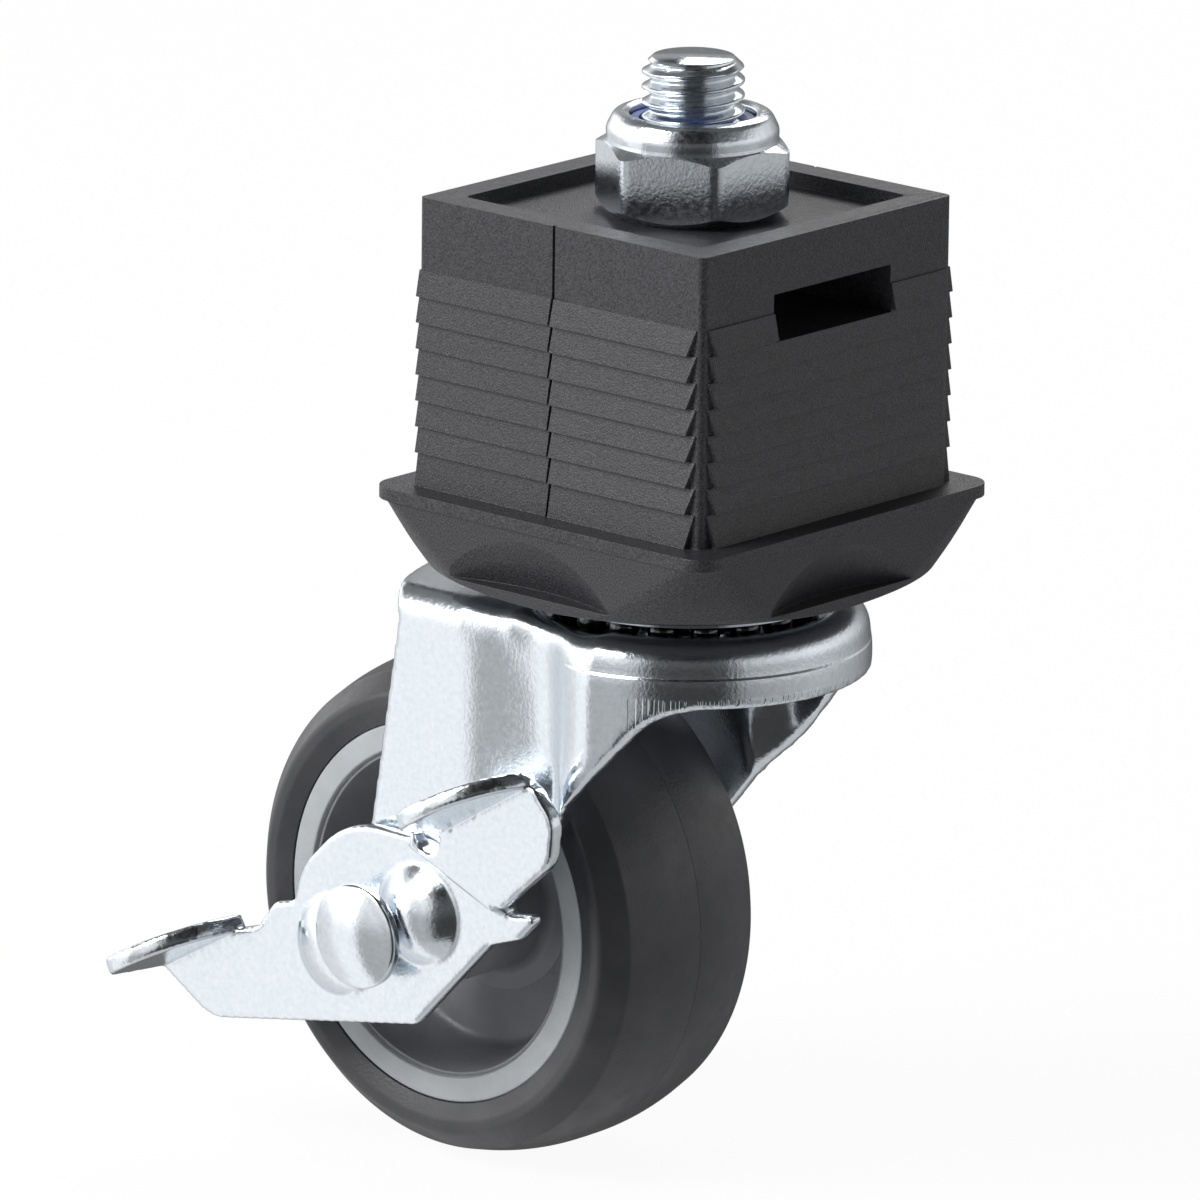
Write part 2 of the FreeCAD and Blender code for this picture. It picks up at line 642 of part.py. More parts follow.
def axle_nut():
    """Nut on the plain side of the axle."""
    prism = hexagon(AXLE_NUT_FLATS, 0, AXLE_NUT_TALL, 10.0)
    reach = AXLE_NUT_FLATS / math.sqrt(3.0)
    flat = AXLE_NUT_FLATS / 2.0
    ends = revolve_up([(0, 0), (reach, 0), (reach, AXLE_NUT_TALL - 0.45), (flat - 0.1, AXLE_NUT_TALL),
                       (0, AXLE_NUT_TALL)])
    nut = prism.common(ends).cut(cylinder(AXLE_R, -1, AXLE_NUT_TALL + 1))
    nut.rotate(V(0, 0, 0), V(1, 0, 0), -90)
    nut.translate(WHEEL_CENTRE + V(0, LEG_OUT + WASHER_THICK, 0))
    return nut


def washer(inner_face, thick, outer_r, bore_r):
    """Flat washer about the axle."""
    ring = revolve_axle([(bore_r, inner_face), (outer_r, inner_face), (outer_r, inner_face + thick),
                         (bore_r, inner_face + thick)])
    ring.translate(WHEEL_CENTRE)
    return ring


def axle_sleeve():
    """Steel tube between the legs that the wheel turns on."""
    return washer(-LEG_IN, 2 * LEG_IN, AXLE_SLEEVE_R, AXLE_R + AXLE_HOLE_PLAY)


def tyre():
    """Soft grey tyre with a low crown, a fine shoulder step and round sidewalls."""
    right = [V(RING_R, RING_HALF - CORE_WALL, 0), V(RING_R, RING_HALF + 0.5, 0)]
    side_top = V(RING_R + 1.0, TYRE_HALF - 0.15, 0)
    side_peak = V(TYRE_SIDE_R, TYRE_HALF, 0)
    side_mid = V(TYRE_BULGE_R, TYRE_BULGE_HALF, 0)
    shoulder = V(SHOULDER_R, SHOULDER_HALF, 0)
    lip = V(SHOULDER_R + SHOULDER_STEP, SHOULDER_HALF - 0.02, 0)
    crown_mid = V(TYRE_R - 0.3, SHOULDER_HALF * 0.62, 0)
    crown = V(TYRE_R, 0, 0)
    half = [Part.LineSegment(right[0], right[1]).toShape(),
            Part.LineSegment(right[1], side_top).toShape(),
            Part.LineSegment(side_top, side_peak).toShape(),
            Part.Arc(side_peak, side_mid, shoulder).toShape(),
            Part.LineSegment(shoulder, lip).toShape(),
            Part.Arc(lip, crown_mid, crown).toShape()]
    seat = Part.LineSegment(right[0], V(RING_R, 0, 0)).toShape()
    axis_cut = Part.LineSegment(V(RING_R, 0, 0), crown).toShape()
    face = Part.Face(Part.Wire(half + [axis_cut, seat]))
    side = face.revolve(V(0, 0, 0), AXLE, 360)
    body = side.fuse(side.mirror(V(0, 0, 0), AXLE)).removeSplitter()
    body.translate(WHEEL_CENTRE)
    return body


def wheel_core():
    """Light-grey moulded rim ring under the tyre, with a thin centre web and hub."""
    half = [(HUB_R - BUSH_WALL, 0), (HUB_R - BUSH_WALL, HUB_HALF), (HUB_R, HUB_HALF)]
    half += [(HUB_R, DISH_STEP - WEB_CLEAR), (DISH_STEP_R, DISH_STEP - WEB_CLEAR)]
    half += [(DISH_FLOOR_R, DISH_FLOOR - WEB_CLEAR), (RING_INNER_R, RING_HALF - 0.5)]
    half += [(RING_INNER_R + 0.4, RING_HALF), (RING_R, RING_HALF), (RING_R, 0)]
    side = revolve_axle(half)
    body = side.fuse(side.mirror(V(0, 0, 0), AXLE)).removeSplitter()
    body.translate(WHEEL_CENTRE)
    return body


def wheel_dish(side):
    """Dark-grey dished cover that fills one side of the rim around the hub."""
    points = [(HUB_R, DISH_STEP - WEB_CLEAR), (DISH_STEP_R, DISH_STEP - WEB_CLEAR),
              (DISH_FLOOR_R, DISH_FLOOR - WEB_CLEAR), (RING_INNER_R, RING_HALF - 0.5),
              (RING_INNER_R - 0.35, RING_HALF - 0.35), (DISH_FLOOR_R, DISH_FLOOR),
              (DISH_STEP_R + 0.2, DISH_STEP), (DISH_STEP_R, DISH_STEP),
              (HUB_R + 0.7, DISH_STEP), (HUB_R + 0.7, HUB_HALF - 0.6),
              (HUB_R, HUB_HALF - 0.6)]
    dish = revolve_axle(points)
    if side < 0:
        dish = dish.mirror(V(0, 0, 0), AXLE)
    dish.translate(WHEEL_CENTRE)
    return dish


def hub_bush():
    """Plain bearing liner between the hub and the axle sleeve."""
    return washer(-HUB_HALF, 2 * HUB_HALF, HUB_R - BUSH_WALL, AXLE_SLEEVE_R + RUN_PLAY)


def toe_pad(fold_start, fold_end, base_out, lean_angle, pad_out):
    """Foot pad bent outward from a fold line, square at its rear end and rounded off to the front."""
    along = fold_end - fold_start
    length = along.Length
    along = along.normalize()
    rise = V(-along.z, 0, along.x)
    lean = math.radians(lean_angle)
    out = V(0, -1, 0) * math.cos(lean) + rise * math.sin(lean)
    thick = rise * math.cos(lean) - V(0, -1, 0) * math.sin(lean)
    root = V(fold_start.x, -(base_out - LEVER_SHEET), fold_start.z)
    reach = pad_out + LEVER_SHEET
    spots = [root, root + out * (reach - 1.2) - along * 0.4, root + out * reach + along * 0.8,
             root + out * (reach * 0.87) + along * (length * 0.66), root + out * 1.3 + along * length,
             root + along * length]
    edges = [Part.LineSegment(spots[0], spots[1]).toShape(),
             Part.LineSegment(spots[1], spots[2]).toShape(),
             Part.Arc(spots[2], spots[3], spots[4]).toShape(),
             Part.LineSegment(spots[4], spots[5]).toShape(),
             Part.LineSegment(spots[5], spots[0]).toShape()]
    return Part.Face(Part.Wire(edges)).extrude(thick * LEVER_SHEET)


def dome_cap(angle, radius, tall, base):
    """Spherical cap on the lever that bulges outward from the plane y = -base."""
    turn = math.radians(angle)
    sphere_r = (radius ** 2 + tall ** 2) / (2.0 * tall)
    centre = V(DOME_OFFSET * math.cos(turn), -base + sphere_r - tall, DOME_OFFSET * math.sin(turn))
    cap = Part.makeSphere(sphere_r, centre)
    reach = radius + 2.0
    keep = box(centre.x - reach, centre.x + reach, -base - tall - 1, -base + 0.2,
               centre.z - reach, centre.z + reach)
    return cap.common(keep)


def lever_dome(angle):
    """Outside of one hollow dome."""
    return dome_cap(angle, DOME_R, DOME_TALL, LEVER_FACE)


def lever_hollow(angle):
    """Hollow behind one dome, where the leg's cam bump sits."""
    return dome_cap(angle, DOME_R - DOME_WALL, DOME_TALL + LEVER_SHEET - DOME_WALL, LEVER_IN)


def wing_step(low, high):
    """S-bend that carries the front wing outward from the lever's body."""
    along = (V(16.3, 0, 4.5) - V(5.5, 0, 8.9))
    length = along.Length
    along = along.normalize()
    across = V(-along.z, 0, along.x)
    profile = [(-0.8, low), (-0.8, high), (0.2, high), (WING_RUN - 1.4, high + WING_STEP),
               (WING_RUN + 0.4, high + WING_STEP), (WING_RUN + 0.4, low + WING_STEP),
               (WING_RUN - 0.6, low + WING_STEP), (1.0, low)]
    corners = [V(5.5, 0, 8.9) + across * a - V(0, o, 0) for a, o in profile]
    return Part.Face(Part.makePolygon(corners + [corners[0]])).extrude(along * length)


def brake_lever():
    """Double-ended brake lever: round body with two domes, a rear toe pad and a stepped front wing."""
    low = LEVER_IN
    high = LEVER_FACE
    body_points = [(-10.3, 4.3, 7.4), (-4.3, 10.3, 9.8), (4.8, 10.1, 2.5), (6.2, 8.7, 0), (16.0, 4.8, 0),
                   (17.2, 4.9, 0), (20.7, 5.4, 0.4), (18.2, 2.7, 0.8), (14.4, 1.4, 1.0), (4.8, -8.6, 1.8),
                   (-22.4, -13.5, 4.5), (-28.7, -9.6, 0.3), (-19.3, -4.0, 0.6), (-16.1, -3.0, 1.0),
                   (-13.9, -0.1, 1.0), (-11.2, 0.6, 0.8)]
    plate = plate_between(body_points, -high, -low)
    wing_points = [(6.4, 10.9, 0.3), (8.0, 13.0, 0.3), (11.3, 12.7, 0), (21.9, 19.4, 0.8), (24.7, 16.2, 2.2),
                   (24.5, 12.0, 3.5), (18.0, 6.2, 0.3)]
    wing = plate_between(wing_points, -high - WING_STEP, -low - WING_STEP)
    rear_pad = toe_pad(V(-28.9, 0, -9.7), V(-19.0, 0, -4.1), high, REAR_PAD_LEAN, REAR_PAD_OUT)
    front_pad = toe_pad(V(11.1, 0, 12.6), V(21.6, 0, 19.0), high + WING_STEP, FRONT_PAD_LEAN, FRONT_PAD_OUT)
    domes = [lever_dome(angle) for angle in (DOME_ANGLE, DOME_ANGLE + 180.0)]
    lever = plate.fuse([wing, wing_step(low, high), rear_pad, front_pad] + domes)
    hollows = [lever_hollow(angle) for angle in (DOME_ANGLE, DOME_ANGLE + 180.0)]
    hole = Part.makeCylinder(AXLE_R + RUN_PLAY, 12, V(0, -low - 10, 0), AXLE)
    notch = Part.makeCylinder(NOTCH_R, 12, V(NOTCH_X, -low - 10, NOTCH_Z), AXLE)
    lever = lever.cut(hollows + [hole, notch])
    lever.translate(WHEEL_CENTRE)
    return lever


def main():
    os.makedirs("parts", exist_ok=True)
    save("tube_plug", tube_plug())
    save("lock_nut", lock_nut())
    save("nylon_ring", nylon_ring())
    save("stem_bolt", stem_bolt())
    save("upper_race", upper_race())
    save("lower_race", lower_race())
    save("race_sleeve", race_sleeve())
    save("upper_balls", balls(BALL_PITCH_TOP, top_ball_height()))
    save("lower_balls", balls(BALL_PITCH_LOW, low_ball_height()))
    save("fork", fork())
    save("axle_bolt", axle_bolt())
    save("axle_nut", axle_nut())
    save("axle_washer", washer(LEG_OUT, WASHER_THICK, WASHER_R, AXLE_R + AXLE_HOLE_PLAY))
    thrust_inner = -LEVER_IN + RUN_PLAY
    save("lever_washer", washer(thrust_inner, LEVER_GAP - RUN_PLAY, THRUST_R, AXLE_R + AXLE_HOLE_PLAY))
    save("axle_sleeve", axle_sleeve())
    save("tyre", tyre())
    save("wheel_core", wheel_core())
    save("dish_near", wheel_dish(-1))
    save("dish_far", wheel_dish(1))
    save("hub_bush", hub_bush())
    save("brake_lever", brake_lever())


main()
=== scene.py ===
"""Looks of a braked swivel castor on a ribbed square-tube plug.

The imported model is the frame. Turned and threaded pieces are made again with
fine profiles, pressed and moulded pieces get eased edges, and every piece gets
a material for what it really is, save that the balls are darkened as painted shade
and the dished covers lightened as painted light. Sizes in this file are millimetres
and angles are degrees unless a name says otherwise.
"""
import math

import bmesh
import bpy
import numpy as np
from mathutils import Matrix, Vector


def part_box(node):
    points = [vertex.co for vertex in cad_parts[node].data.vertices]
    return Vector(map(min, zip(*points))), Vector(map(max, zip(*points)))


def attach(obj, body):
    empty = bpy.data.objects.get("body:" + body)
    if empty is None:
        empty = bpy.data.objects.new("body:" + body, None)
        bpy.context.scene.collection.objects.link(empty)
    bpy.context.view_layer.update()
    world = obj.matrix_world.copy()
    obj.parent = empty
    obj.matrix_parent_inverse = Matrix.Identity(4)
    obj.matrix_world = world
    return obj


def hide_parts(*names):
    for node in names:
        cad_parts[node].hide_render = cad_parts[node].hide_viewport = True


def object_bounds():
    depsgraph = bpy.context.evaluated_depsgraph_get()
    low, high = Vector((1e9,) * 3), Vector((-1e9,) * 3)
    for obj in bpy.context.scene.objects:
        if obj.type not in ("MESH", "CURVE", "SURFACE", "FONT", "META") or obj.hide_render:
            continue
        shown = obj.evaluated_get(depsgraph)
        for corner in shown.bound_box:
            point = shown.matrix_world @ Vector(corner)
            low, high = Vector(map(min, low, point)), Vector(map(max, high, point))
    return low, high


bl_info = {
    "name": "Levelling castor",
    "version": (1, 0, 0),
    "blender": (4, 5, 0),
    "location": "View3D > Sidebar > Castor",
    "description": "Dresses the packed castor in its real surfaces and sets up the studio",
    "category": "Object",
}

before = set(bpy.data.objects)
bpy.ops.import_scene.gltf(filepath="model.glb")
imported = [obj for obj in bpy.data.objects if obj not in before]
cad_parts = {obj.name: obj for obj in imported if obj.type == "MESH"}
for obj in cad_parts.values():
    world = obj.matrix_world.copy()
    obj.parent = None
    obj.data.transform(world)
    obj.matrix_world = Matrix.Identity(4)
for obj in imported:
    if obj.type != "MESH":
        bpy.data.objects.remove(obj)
CAD_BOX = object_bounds()

MM = 0.001
STEM_X = 0.39
STEM_Y = 0.39
STEM_AXIS = (STEM_X, STEM_Y, 0.0)
WHEEL_CENTRE = (-22.46, 0.39, -45.6)
RECESS_FLOOR = 26.9

# Stem screw: M10 thread above a plain shank, with a low hexagon head
STEM_SEGMENTS = 72
STEM_SHARP = 50.0
STEM_RADIUS = 4.95
STEM_TIP = 0.05
THREAD_LOW = 24.0
THREAD_ROOT = 4.08
THREAD_STEPS = 16
THREAD_CREST_FLAT = 0.14
THREAD_FLANK = 0.74
THREAD_EASE = 0.35
LEAD_TALL = 0.95
LEAD_SLOPE = 1.05
HEAD_FLATS = 16.0
HEAD_TALL = 1.8
HEAD_CHAMFER_IN = 0.4
HEAD_CHAMFER_TALL = 0.9

# Lock nut: hexagon with 30 degree chamfers, and a rolled collar over the nylon ring
NUT_SEGMENTS = 240
NUT_SHARP = 24.0
NUT_FLATS = 17.0
NUT_TURN = -33.9
NUT_CORNER = 1.6
NUT_CHAMFER = 30.0
NUT_HEX_TALL = 7.0
NUT_HEX_LIP = 0.15
NUT_FOOT_LOW = 0.5
NUT_FOOT_HIGH = 0.7
NUT_FOOT_IN = 0.1
NUT_TOP_IN = 0.2
NUT_CONE_OUT = 0.05
NUT_FOOT = ((STEM_RADIUS, 0.0), (7.8, 0.0), (8.35, 0.45))
NUT_COLLAR = ((8.35, 7.15, 0), (8.3, 7.5, 0.4), (8.35, 8.3, 2.0), (7.6, 9.8, 1.6),
              (6.6, 10.0, 0.35), (6.1, 9.7, 0.2), (6.1, 8.8, 0))
NUT_BORE = ((6.7, 8.8), (6.7, 6.8), (STEM_RADIUS, 6.8))

# Swivel bearing
BALL_COUNT = 18
BALL_DIVISIONS = 4

# Plug: faces within the first angle are merged, edges past the second are rounded
PLUG_MERGE = 0.6
PLUG_EDGE = 28.0
PLUG_SHARP = 40.0

# Fork: mesh points are drawn to their neighbours this often, then shaped between these places
FORK_PASSES = 7
FORK_SHARP = 60.0
PANEL_LEAN = 0.75
PANEL_RUN = (-10.2, -3.2)
PANEL_WEB = (0.5, -2.5)
PANEL_SIDE = (10.0, 12.0)
PANEL_FOOT = (-34.0, -28.0)
PANEL_TOP = (-13.0, -17.0)
BEND_PASSES = 130
BEND_SHARE = 0.6
BEND_SIDE = (9.0, 12.0)
CORNER_BACK = (-9.0, -5.0)
CORNER_FRONT = (4.0, 1.0)
CORNER_FOOT = (-27.0, -23.0)
CREASE_BACK = (-14.5, -12.5)
CREASE_FRONT = (-8.0, -10.0)
CREASE_SHARE = 0.4

# Share of the way to the neighbours' middle at each pass over a pressed piece
PRESS_SHARE = 0.5

# Brake lever: passes of softening, and how far its skin is moved outward after them
LEVER_PASSES = 5
LEVER_SHARP = 60.0
LEVER_SWELL = 0.1

# Axle bolt, from the wheel's centre; the lip is (share of the head's radius, height under the rim)
AXLE_SEGMENTS = 120
AXLE_SHARP = 30.0
AXLE_RADIUS = 3.0
AXLE_CHAMFER = 0.5
AXLE_HEAD_RADIUS = 5.2
AXLE_HEAD_RIM = 0.9
AXLE_HEAD_DOME = 1.2
AXLE_HEAD_EASE = 0.35
AXLE_HEAD_EDGE = 0.2
AXLE_HEAD_LIP = ((1.0, 0.05), (0.9, 0.27))
AXLE_DOME_SHARE = 0.86
AXLE_DOME_STEPS = 8

# Wheel: (radius, distance from the middle plane, rounding) of each side
TYRE_SIDE = ((19.08, 7.8, 0), (19.08, 10.45, 0.1), (20.8, 11.1, 1.5), (22.0, 11.15, 1.0),
             (24.05, 8.85, 0.8), (24.3, 7.9, 0))
TYRE_TREAD = ((24.36, 7.7), (25.0, 4.9), (25.3, 0.05))
TYRE_MOULD_LINE = 25.33
CORE_SIDE = ((5.4, 13.9, 0), (6.4, 13.9, 0.2), (6.4, 0.7, 0), (9.3, 0.7, 0), (14.6, 2.2, 0),
             (16.45, 9.9, 0.1), (16.6, 10.4, 0.25), (18.9, 10.4, 0.3), (19.05, 10.2, 0))
DISH_SIDE = ((6.4, 0.7, 0), (9.3, 0.7, 0), (14.6, 2.2, 0), (16.45, 9.9, 0), (16.1, 10.05, 0.2),
             (14.6, 3.2, 1.5), (9.5, 1.7, 0.3), (7.1, 1.7, 1.0), (7.1, 13.3, 0.3), (6.4, 13.3, 0))
WHEEL_SHARP = 28.0
TREAD_STEPS = 16

# A rounding may take this share of a side, and points this near are one (metres)
ROUNDING_REACH = 0.49
CAD_WELD_M = 2e-6
ROW_WELD_M = 1e-7

# Grains of the surfaces, as (size, noise detail), and the part of the noise that shows
NOISE_SPREAD = (0.3, 0.7)
PEEL_FINE = (0.34, 3.0)
PEEL_FINE_SHARE = 1.4
PEEL_SWELL = (2.6, 2.0)
PEEL_SWELL_SHARE = 0.5
PLATE_TINT = (0.6, 5.0)
PLATE_SHINE = (0.5, 4.0)
NYLON_SPECKLE = (0.17, 1.0)
NYLON_SHINE = (0.8, 3.0)
NYLON_DEPTH = 0.02
# Colour clouds, patches of shine, grain and the grain's depth
RUBBER_SKIN = ((5.0, 4.0), (2.0, 3.0), (0.3, 4.0), 0.012)
PLASTIC_SKIN = ((3.0, 4.0), (1.5, 3.0), (0.35, 3.0), 0.015)

# Press marks on the fork: places between which each mark fades in, its depth, and the
# (size, noise detail, stretch) of its lines
STEP_Z = (-15.05, -14.8)
STEP_X = (-1.0, 3.0)
STEP_DEPTH = 0.12
DRAWN_Z = (-14.0, -16.0)
DRAWN_DEPTH = 0.006
DRAWN_LINES = (0.5, 3.0, 0.03)
SHEAR_Z = (-16.8, -17.1)
SHEAR_X = (7.0, 8.5)
SHEAR_DEPTH = 0.04
SHEAR_TEETH = (0.36, 0.0, 0.005)
SHEAR_EDGE = (0.45, 0.55)

# Light of the studio around the object, as (azimuth, level): a bright strip on the left and
# a dark front
STUDIO_RING = (
    (-180, 0.44), (-155, 0.50), (-149, 0.62), (-123, 0.62), (-117, 0.25), (-90, 0.29),
    (-79, 0.22), (-72, 0.03), (-22, 0.025), (-12, 0.18), (42, 0.29), (80, 0.22),
    (115, 0.07), (145, 0.12), (158, 0.44))
# Strength below and above the horizon, its share overhead and the least light from the table,
# each with the heights on the unit sphere between which it comes in
LOW_LEVEL = 1.78
HIGH_LEVEL = 3.4
LEVEL_SLOPE = (-0.2, 0.2)
OVERHEAD_SHARE = 0.12
OVERHEAD_SLOPE = (0.3, 0.6)
TABLE_LEVEL = 0.6
TABLE_SLOPE = (-0.6, -0.8)
# Name, place and side in metres, and power in watts
SOFTBOXES = (
    ("key softbox", (-0.34, -0.74, 0.64), 0.55, 11.0),
    ("back softbox", (-0.30, 0.60, 0.60), 0.5, 3.0))
FLOOR_HALF_M = 3.0
FLOOR_GLOW = 0.94

# Camera of the photograph; its place is measured along its own right, up and back
CAMERA_AZIMUTH = 41.372
CAMERA_ELEVATION = 15.047
CAMERA_ROLL = 0.663
CAMERA_PLACE = (-7.933, -11.320, 1323.279)
CAMERA_LENS = 411.814
CAMERA_SENSOR = 36.0
CAMERA_CLIP_M = (0.05, 20.0)


def linear(code):
    """Linear colour of an sRGB hex value."""
    parts = [int(code[i:i + 2], 16) / 255.0 for i in (1, 3, 5)]
    return tuple(c / 12.92 if c <= 0.04045 else ((c + 0.055) / 1.055) ** 2.4 for c in parts)


def scale_for(millimetres):
    """Noise scale that gives features of about this size in object coordinates."""
    return 1.0 / (millimetres * MM)


def add_node(tree, kind, settings=None, links=None):
    """Add a node, set its inputs or properties by name, and link its inputs."""
    node = tree.nodes.new(kind)
    for key, value in (settings or {}).items():
        if key in node.inputs:
            node.inputs[key].default_value = value
        else:
            setattr(node, key, value)
    for key, source in (links or {}).items():
        tree.links.new(source, node.inputs[key])
    return node


def combined(tree, operation, first, second):
    """One value from two, by a named operation; the second may be a plain number."""
    node = add_node(tree, "ShaderNodeMath", {"operation": operation})
    tree.links.new(first, node.inputs[0])
    if isinstance(second, float):
        node.inputs[1].default_value = second
    else:
        tree.links.new(second, node.inputs[1])
    return node.outputs[0]


def ranged(tree, source, limits, start=0.0, end=1.0, kind="LINEAR"):
    """Value that runs from start to end as another goes between two limits."""
    low, high = limits
    spread = add_node(tree, "ShaderNodeMapRange",
                      {"interpolation_type": kind, "From Min": low, "From Max": high,
                       "To Min": start, "To Max": end}, {"Value": source})
    return spread.outputs["Result"]


def new_material(name, **shader):
    """Empty node material with a Principled shader; returns it, its tree and the shader."""
    material = bpy.data.materials.new(name)
    material.use_nodes = True
    tree = material.node_tree
    tree.nodes.clear()
    principled = add_node(tree, "ShaderNodeBsdfPrincipled", shader)
    add_node(tree, "ShaderNodeOutputMaterial", links={"Surface": principled.outputs["BSDF"]})
    return material, tree, principled


def noise_at(tree, vector, millimetres, detail):
    """Noise of a real size at places of a coordinate."""
    grain = add_node(tree, "ShaderNodeTexNoise",
                     {"Scale": scale_for(millimetres), "Detail": detail}, {"Vector": vector})
    return grain.outputs["Fac"]


def noise_value(tree, grain, low=0.0, high=1.0):
    """Noise of a (size, detail) grain, as a value between two limits."""
    place = add_node(tree, "ShaderNodeTexCoord")
    return ranged(tree, noise_at(tree, place.outputs["Object"], *grain), NOISE_SPREAD, low, high)


def drawn_noise(tree, millimetres, detail, stretch):
    """Noise of a real size, drawn out along Z by 1 / stretch."""
    place = add_node(tree, "ShaderNodeTexCoord")
    drawn = add_node(tree, "ShaderNodeMapping", {"Scale": (1.0, 1.0, stretch)},
                     {"Vector": place.outputs["Object"]})
    return noise_at(tree, drawn.outputs["Vector"], millimetres, detail)


def colour_between(tree, amount, dark, light):
    """Mix of two sRGB colours by a value."""
    mix = add_node(tree, "ShaderNodeMix", {"data_type": "RGBA"})
    mix.inputs[6].default_value = (*linear(dark), 1.0)
    mix.inputs[7].default_value = (*linear(light), 1.0)
    tree.links.new(amount, mix.inputs[0])
    return mix.outputs[2]


def bump(tree, height, millimetres, under=None):
    """Bump of a real depth, over an earlier one if given."""
    links = {"Height": height}
    if under is not None:
        links["Normal"] = under
    node = add_node(tree, "ShaderNodeBump", {"Strength": 1.0, "Distance": millimetres * MM}, links)
    return node.outputs["Normal"]


def zinc_plate(name, peel, low=0.14, high=0.24, light="#e6ecf1", dark="#dce3ea", under=None):
    """Bright zinc plate: bluish white metal whose fine orange peel breaks up its reflections."""
    material, tree, shader = new_material(name, Metallic=1.0)
    tint = colour_between(tree, noise_value(tree, PLATE_TINT), dark, light)
    tree.links.new(tint, shader.inputs["Base Color"])
    tree.links.new(noise_value(tree, PLATE_SHINE, low, high), shader.inputs["Roughness"])
    marks = under(tree) if under else None
    swell = bump(tree, noise_value(tree, PEEL_SWELL), peel * PEEL_SWELL_SHARE, marks)
    fine = bump(tree, noise_value(tree, PEEL_FINE), peel * PEEL_FINE_SHARE, swell)
    tree.links.new(fine, shader.inputs["Normal"])
    return material


def press_marks(tree):
    """Marks of the press: a fine step round the skirt, drawing lines and sheared edge lines."""
    place = add_node(tree, "ShaderNodeTexCoord")
    parts = add_node(tree, "ShaderNodeSeparateXYZ", None, {"Vector": place.outputs["Object"]})

    def fade(letter, limits, start=0.0, end=1.0):
        """Value that runs from start to end between two places along one axis."""
        low, high = limits
        return ranged(tree, parts.outputs[letter], (low * MM, high * MM), start, end)

    skirt = combined(tree, "MULTIPLY", fade("Z", STEP_Z, 1.0, 0.0), fade("X", STEP_X))
    step = bump(tree, skirt, STEP_DEPTH)
    lines = combined(tree, "MULTIPLY", drawn_noise(tree, *DRAWN_LINES), fade("Z", DRAWN_Z))
    streaks = bump(tree, lines, DRAWN_DEPTH, step)
    teeth = ranged(tree, drawn_noise(tree, *SHEAR_TEETH), SHEAR_EDGE)
    rim = combined(tree, "MULTIPLY", fade("Z", SHEAR_Z), fade("X", SHEAR_X))
    return bump(tree, combined(tree, "MULTIPLY", teeth, rim), SHEAR_DEPTH, streaks)


def moulded_nylon():
    """Black glass-filled nylon: a fine pale speckle in a grained, semi-matt moulded skin."""
    material, tree, shader = new_material("moulded black nylon", IOR=1.45)
    speckle = noise_value(tree, NYLON_SPECKLE)
    tint = colour_between(tree, speckle, "#18181b", "#3d3d42")
    tree.links.new(tint, shader.inputs["Base Color"])
    tree.links.new(noise_value(tree, NYLON_SHINE, 0.32, 0.44), shader.inputs["Roughness"])
    tree.links.new(bump(tree, speckle, NYLON_DEPTH), shader.inputs["Normal"])
    return material


def moulded(name, dark, light, low, high, skin=PLASTIC_SKIN):
    """Even colour with faint clouds, a satin skin between two roughnesses, and a fine grain."""
    cloud, patches, grain, depth = skin
    material, tree, shader = new_material(name)
    tint = colour_between(tree, noise_value(tree, cloud), dark, light)
    tree.links.new(tint, shader.inputs["Base Color"])
    tree.links.new(noise_value(tree, patches, low, high), shader.inputs["Roughness"])
    tree.links.new(bump(tree, noise_value(tree, grain), depth), shader.inputs["Normal"])
    return material


MATERIALS = {}


def make_materials():
    """Every material of the castor, by the record's slot or by its finish."""
    MATERIALS.update({
        # Flat and folded sheet: bright plate with an even, fine peel
        "zinc_steel": zinc_plate("bright zinc plate on pressed steel", 0.006),
        # Deep drawn sheet: a little more peel, and the marks of its press
        "drawn_zinc": zinc_plate("bright zinc plate on deep drawn steel", 0.007,
                                 under=press_marks),
        # Turned and rolled pieces: smoother and shinier, with sharper reflections
        "turned_zinc": zinc_plate("bright zinc plate on turned steel", 0.004, 0.12, 0.2),
        # The cold-forged nut: uneven flats that break up what they reflect
        "forged_zinc": zinc_plate("bright zinc plate on forged steel", 0.007, 0.13, 0.26),
        # Balls: hard and clean, their colour darkened well below real bearing steel as painted
        # shade for the dark gap they sit in
        "bearing_steel": zinc_plate("polished bearing steel darkened as painted shade", 0.001, 0.08, 0.12,
                                    "#5a5b5d", "#48494b"),
        "black_nylon": moulded_nylon(),
        # Tyre: smooth moulded skin with faint clouding and a soft sheen
        "grey_rubber": moulded("moulded grey rubber", "#303135", "#3a3a3e", 0.28, 0.42,
                               RUBBER_SKIN),
        # Rim ring: pale and rather matt
        "light_grey_plastic": moulded("moulded grey polypropylene", "#9a9ea1", "#a6aaad",
                                      0.42, 0.52),
        # Dished covers: darker plastic with a soft shine in the hollow, its colour set lighter
        # than its own as painted light for the shade there
        "dark_grey_plastic": moulded("moulded dark polypropylene lightened as painted light", "#7a7b80", "#84858a",
                                     0.32, 0.42),
        # Ring of the lock nut: a blue line round the thread
        "blue_nylon": moulded("turned blue nylon", "#2c4a86", "#3a5da3", 0.35, 0.45),
    })


def material_for(slot):
    """Material of a slot or a finish; all are made once."""
    if not MATERIALS:
        make_materials()
    return MATERIALS[slot]


def finish_mesh(mesh, sharp_degrees=35.0):
    """Smooth shading, except across real edges."""
    mesh.shade_smooth()
    mesh.set_sharp_from_angle(angle=math.radians(sharp_degrees))


def add_piece(name, mesh, body, slot, node, material=None):
    """Put a mesh in the scene as a piece of one body that stands for a CAD node."""
    piece = bpy.data.objects.new(name, mesh)
    bpy.context.scene.collection.objects.link(piece)
    mesh.materials.clear()
    mesh.materials.append(material or material_for(slot))
    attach(piece, body)
    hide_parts(node)
    return piece


def set_material(node, finish):
    """Give a CAD node's object a material in place of its plain one."""
    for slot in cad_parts[node].material_slots:
        slot.material = material_for(finish)


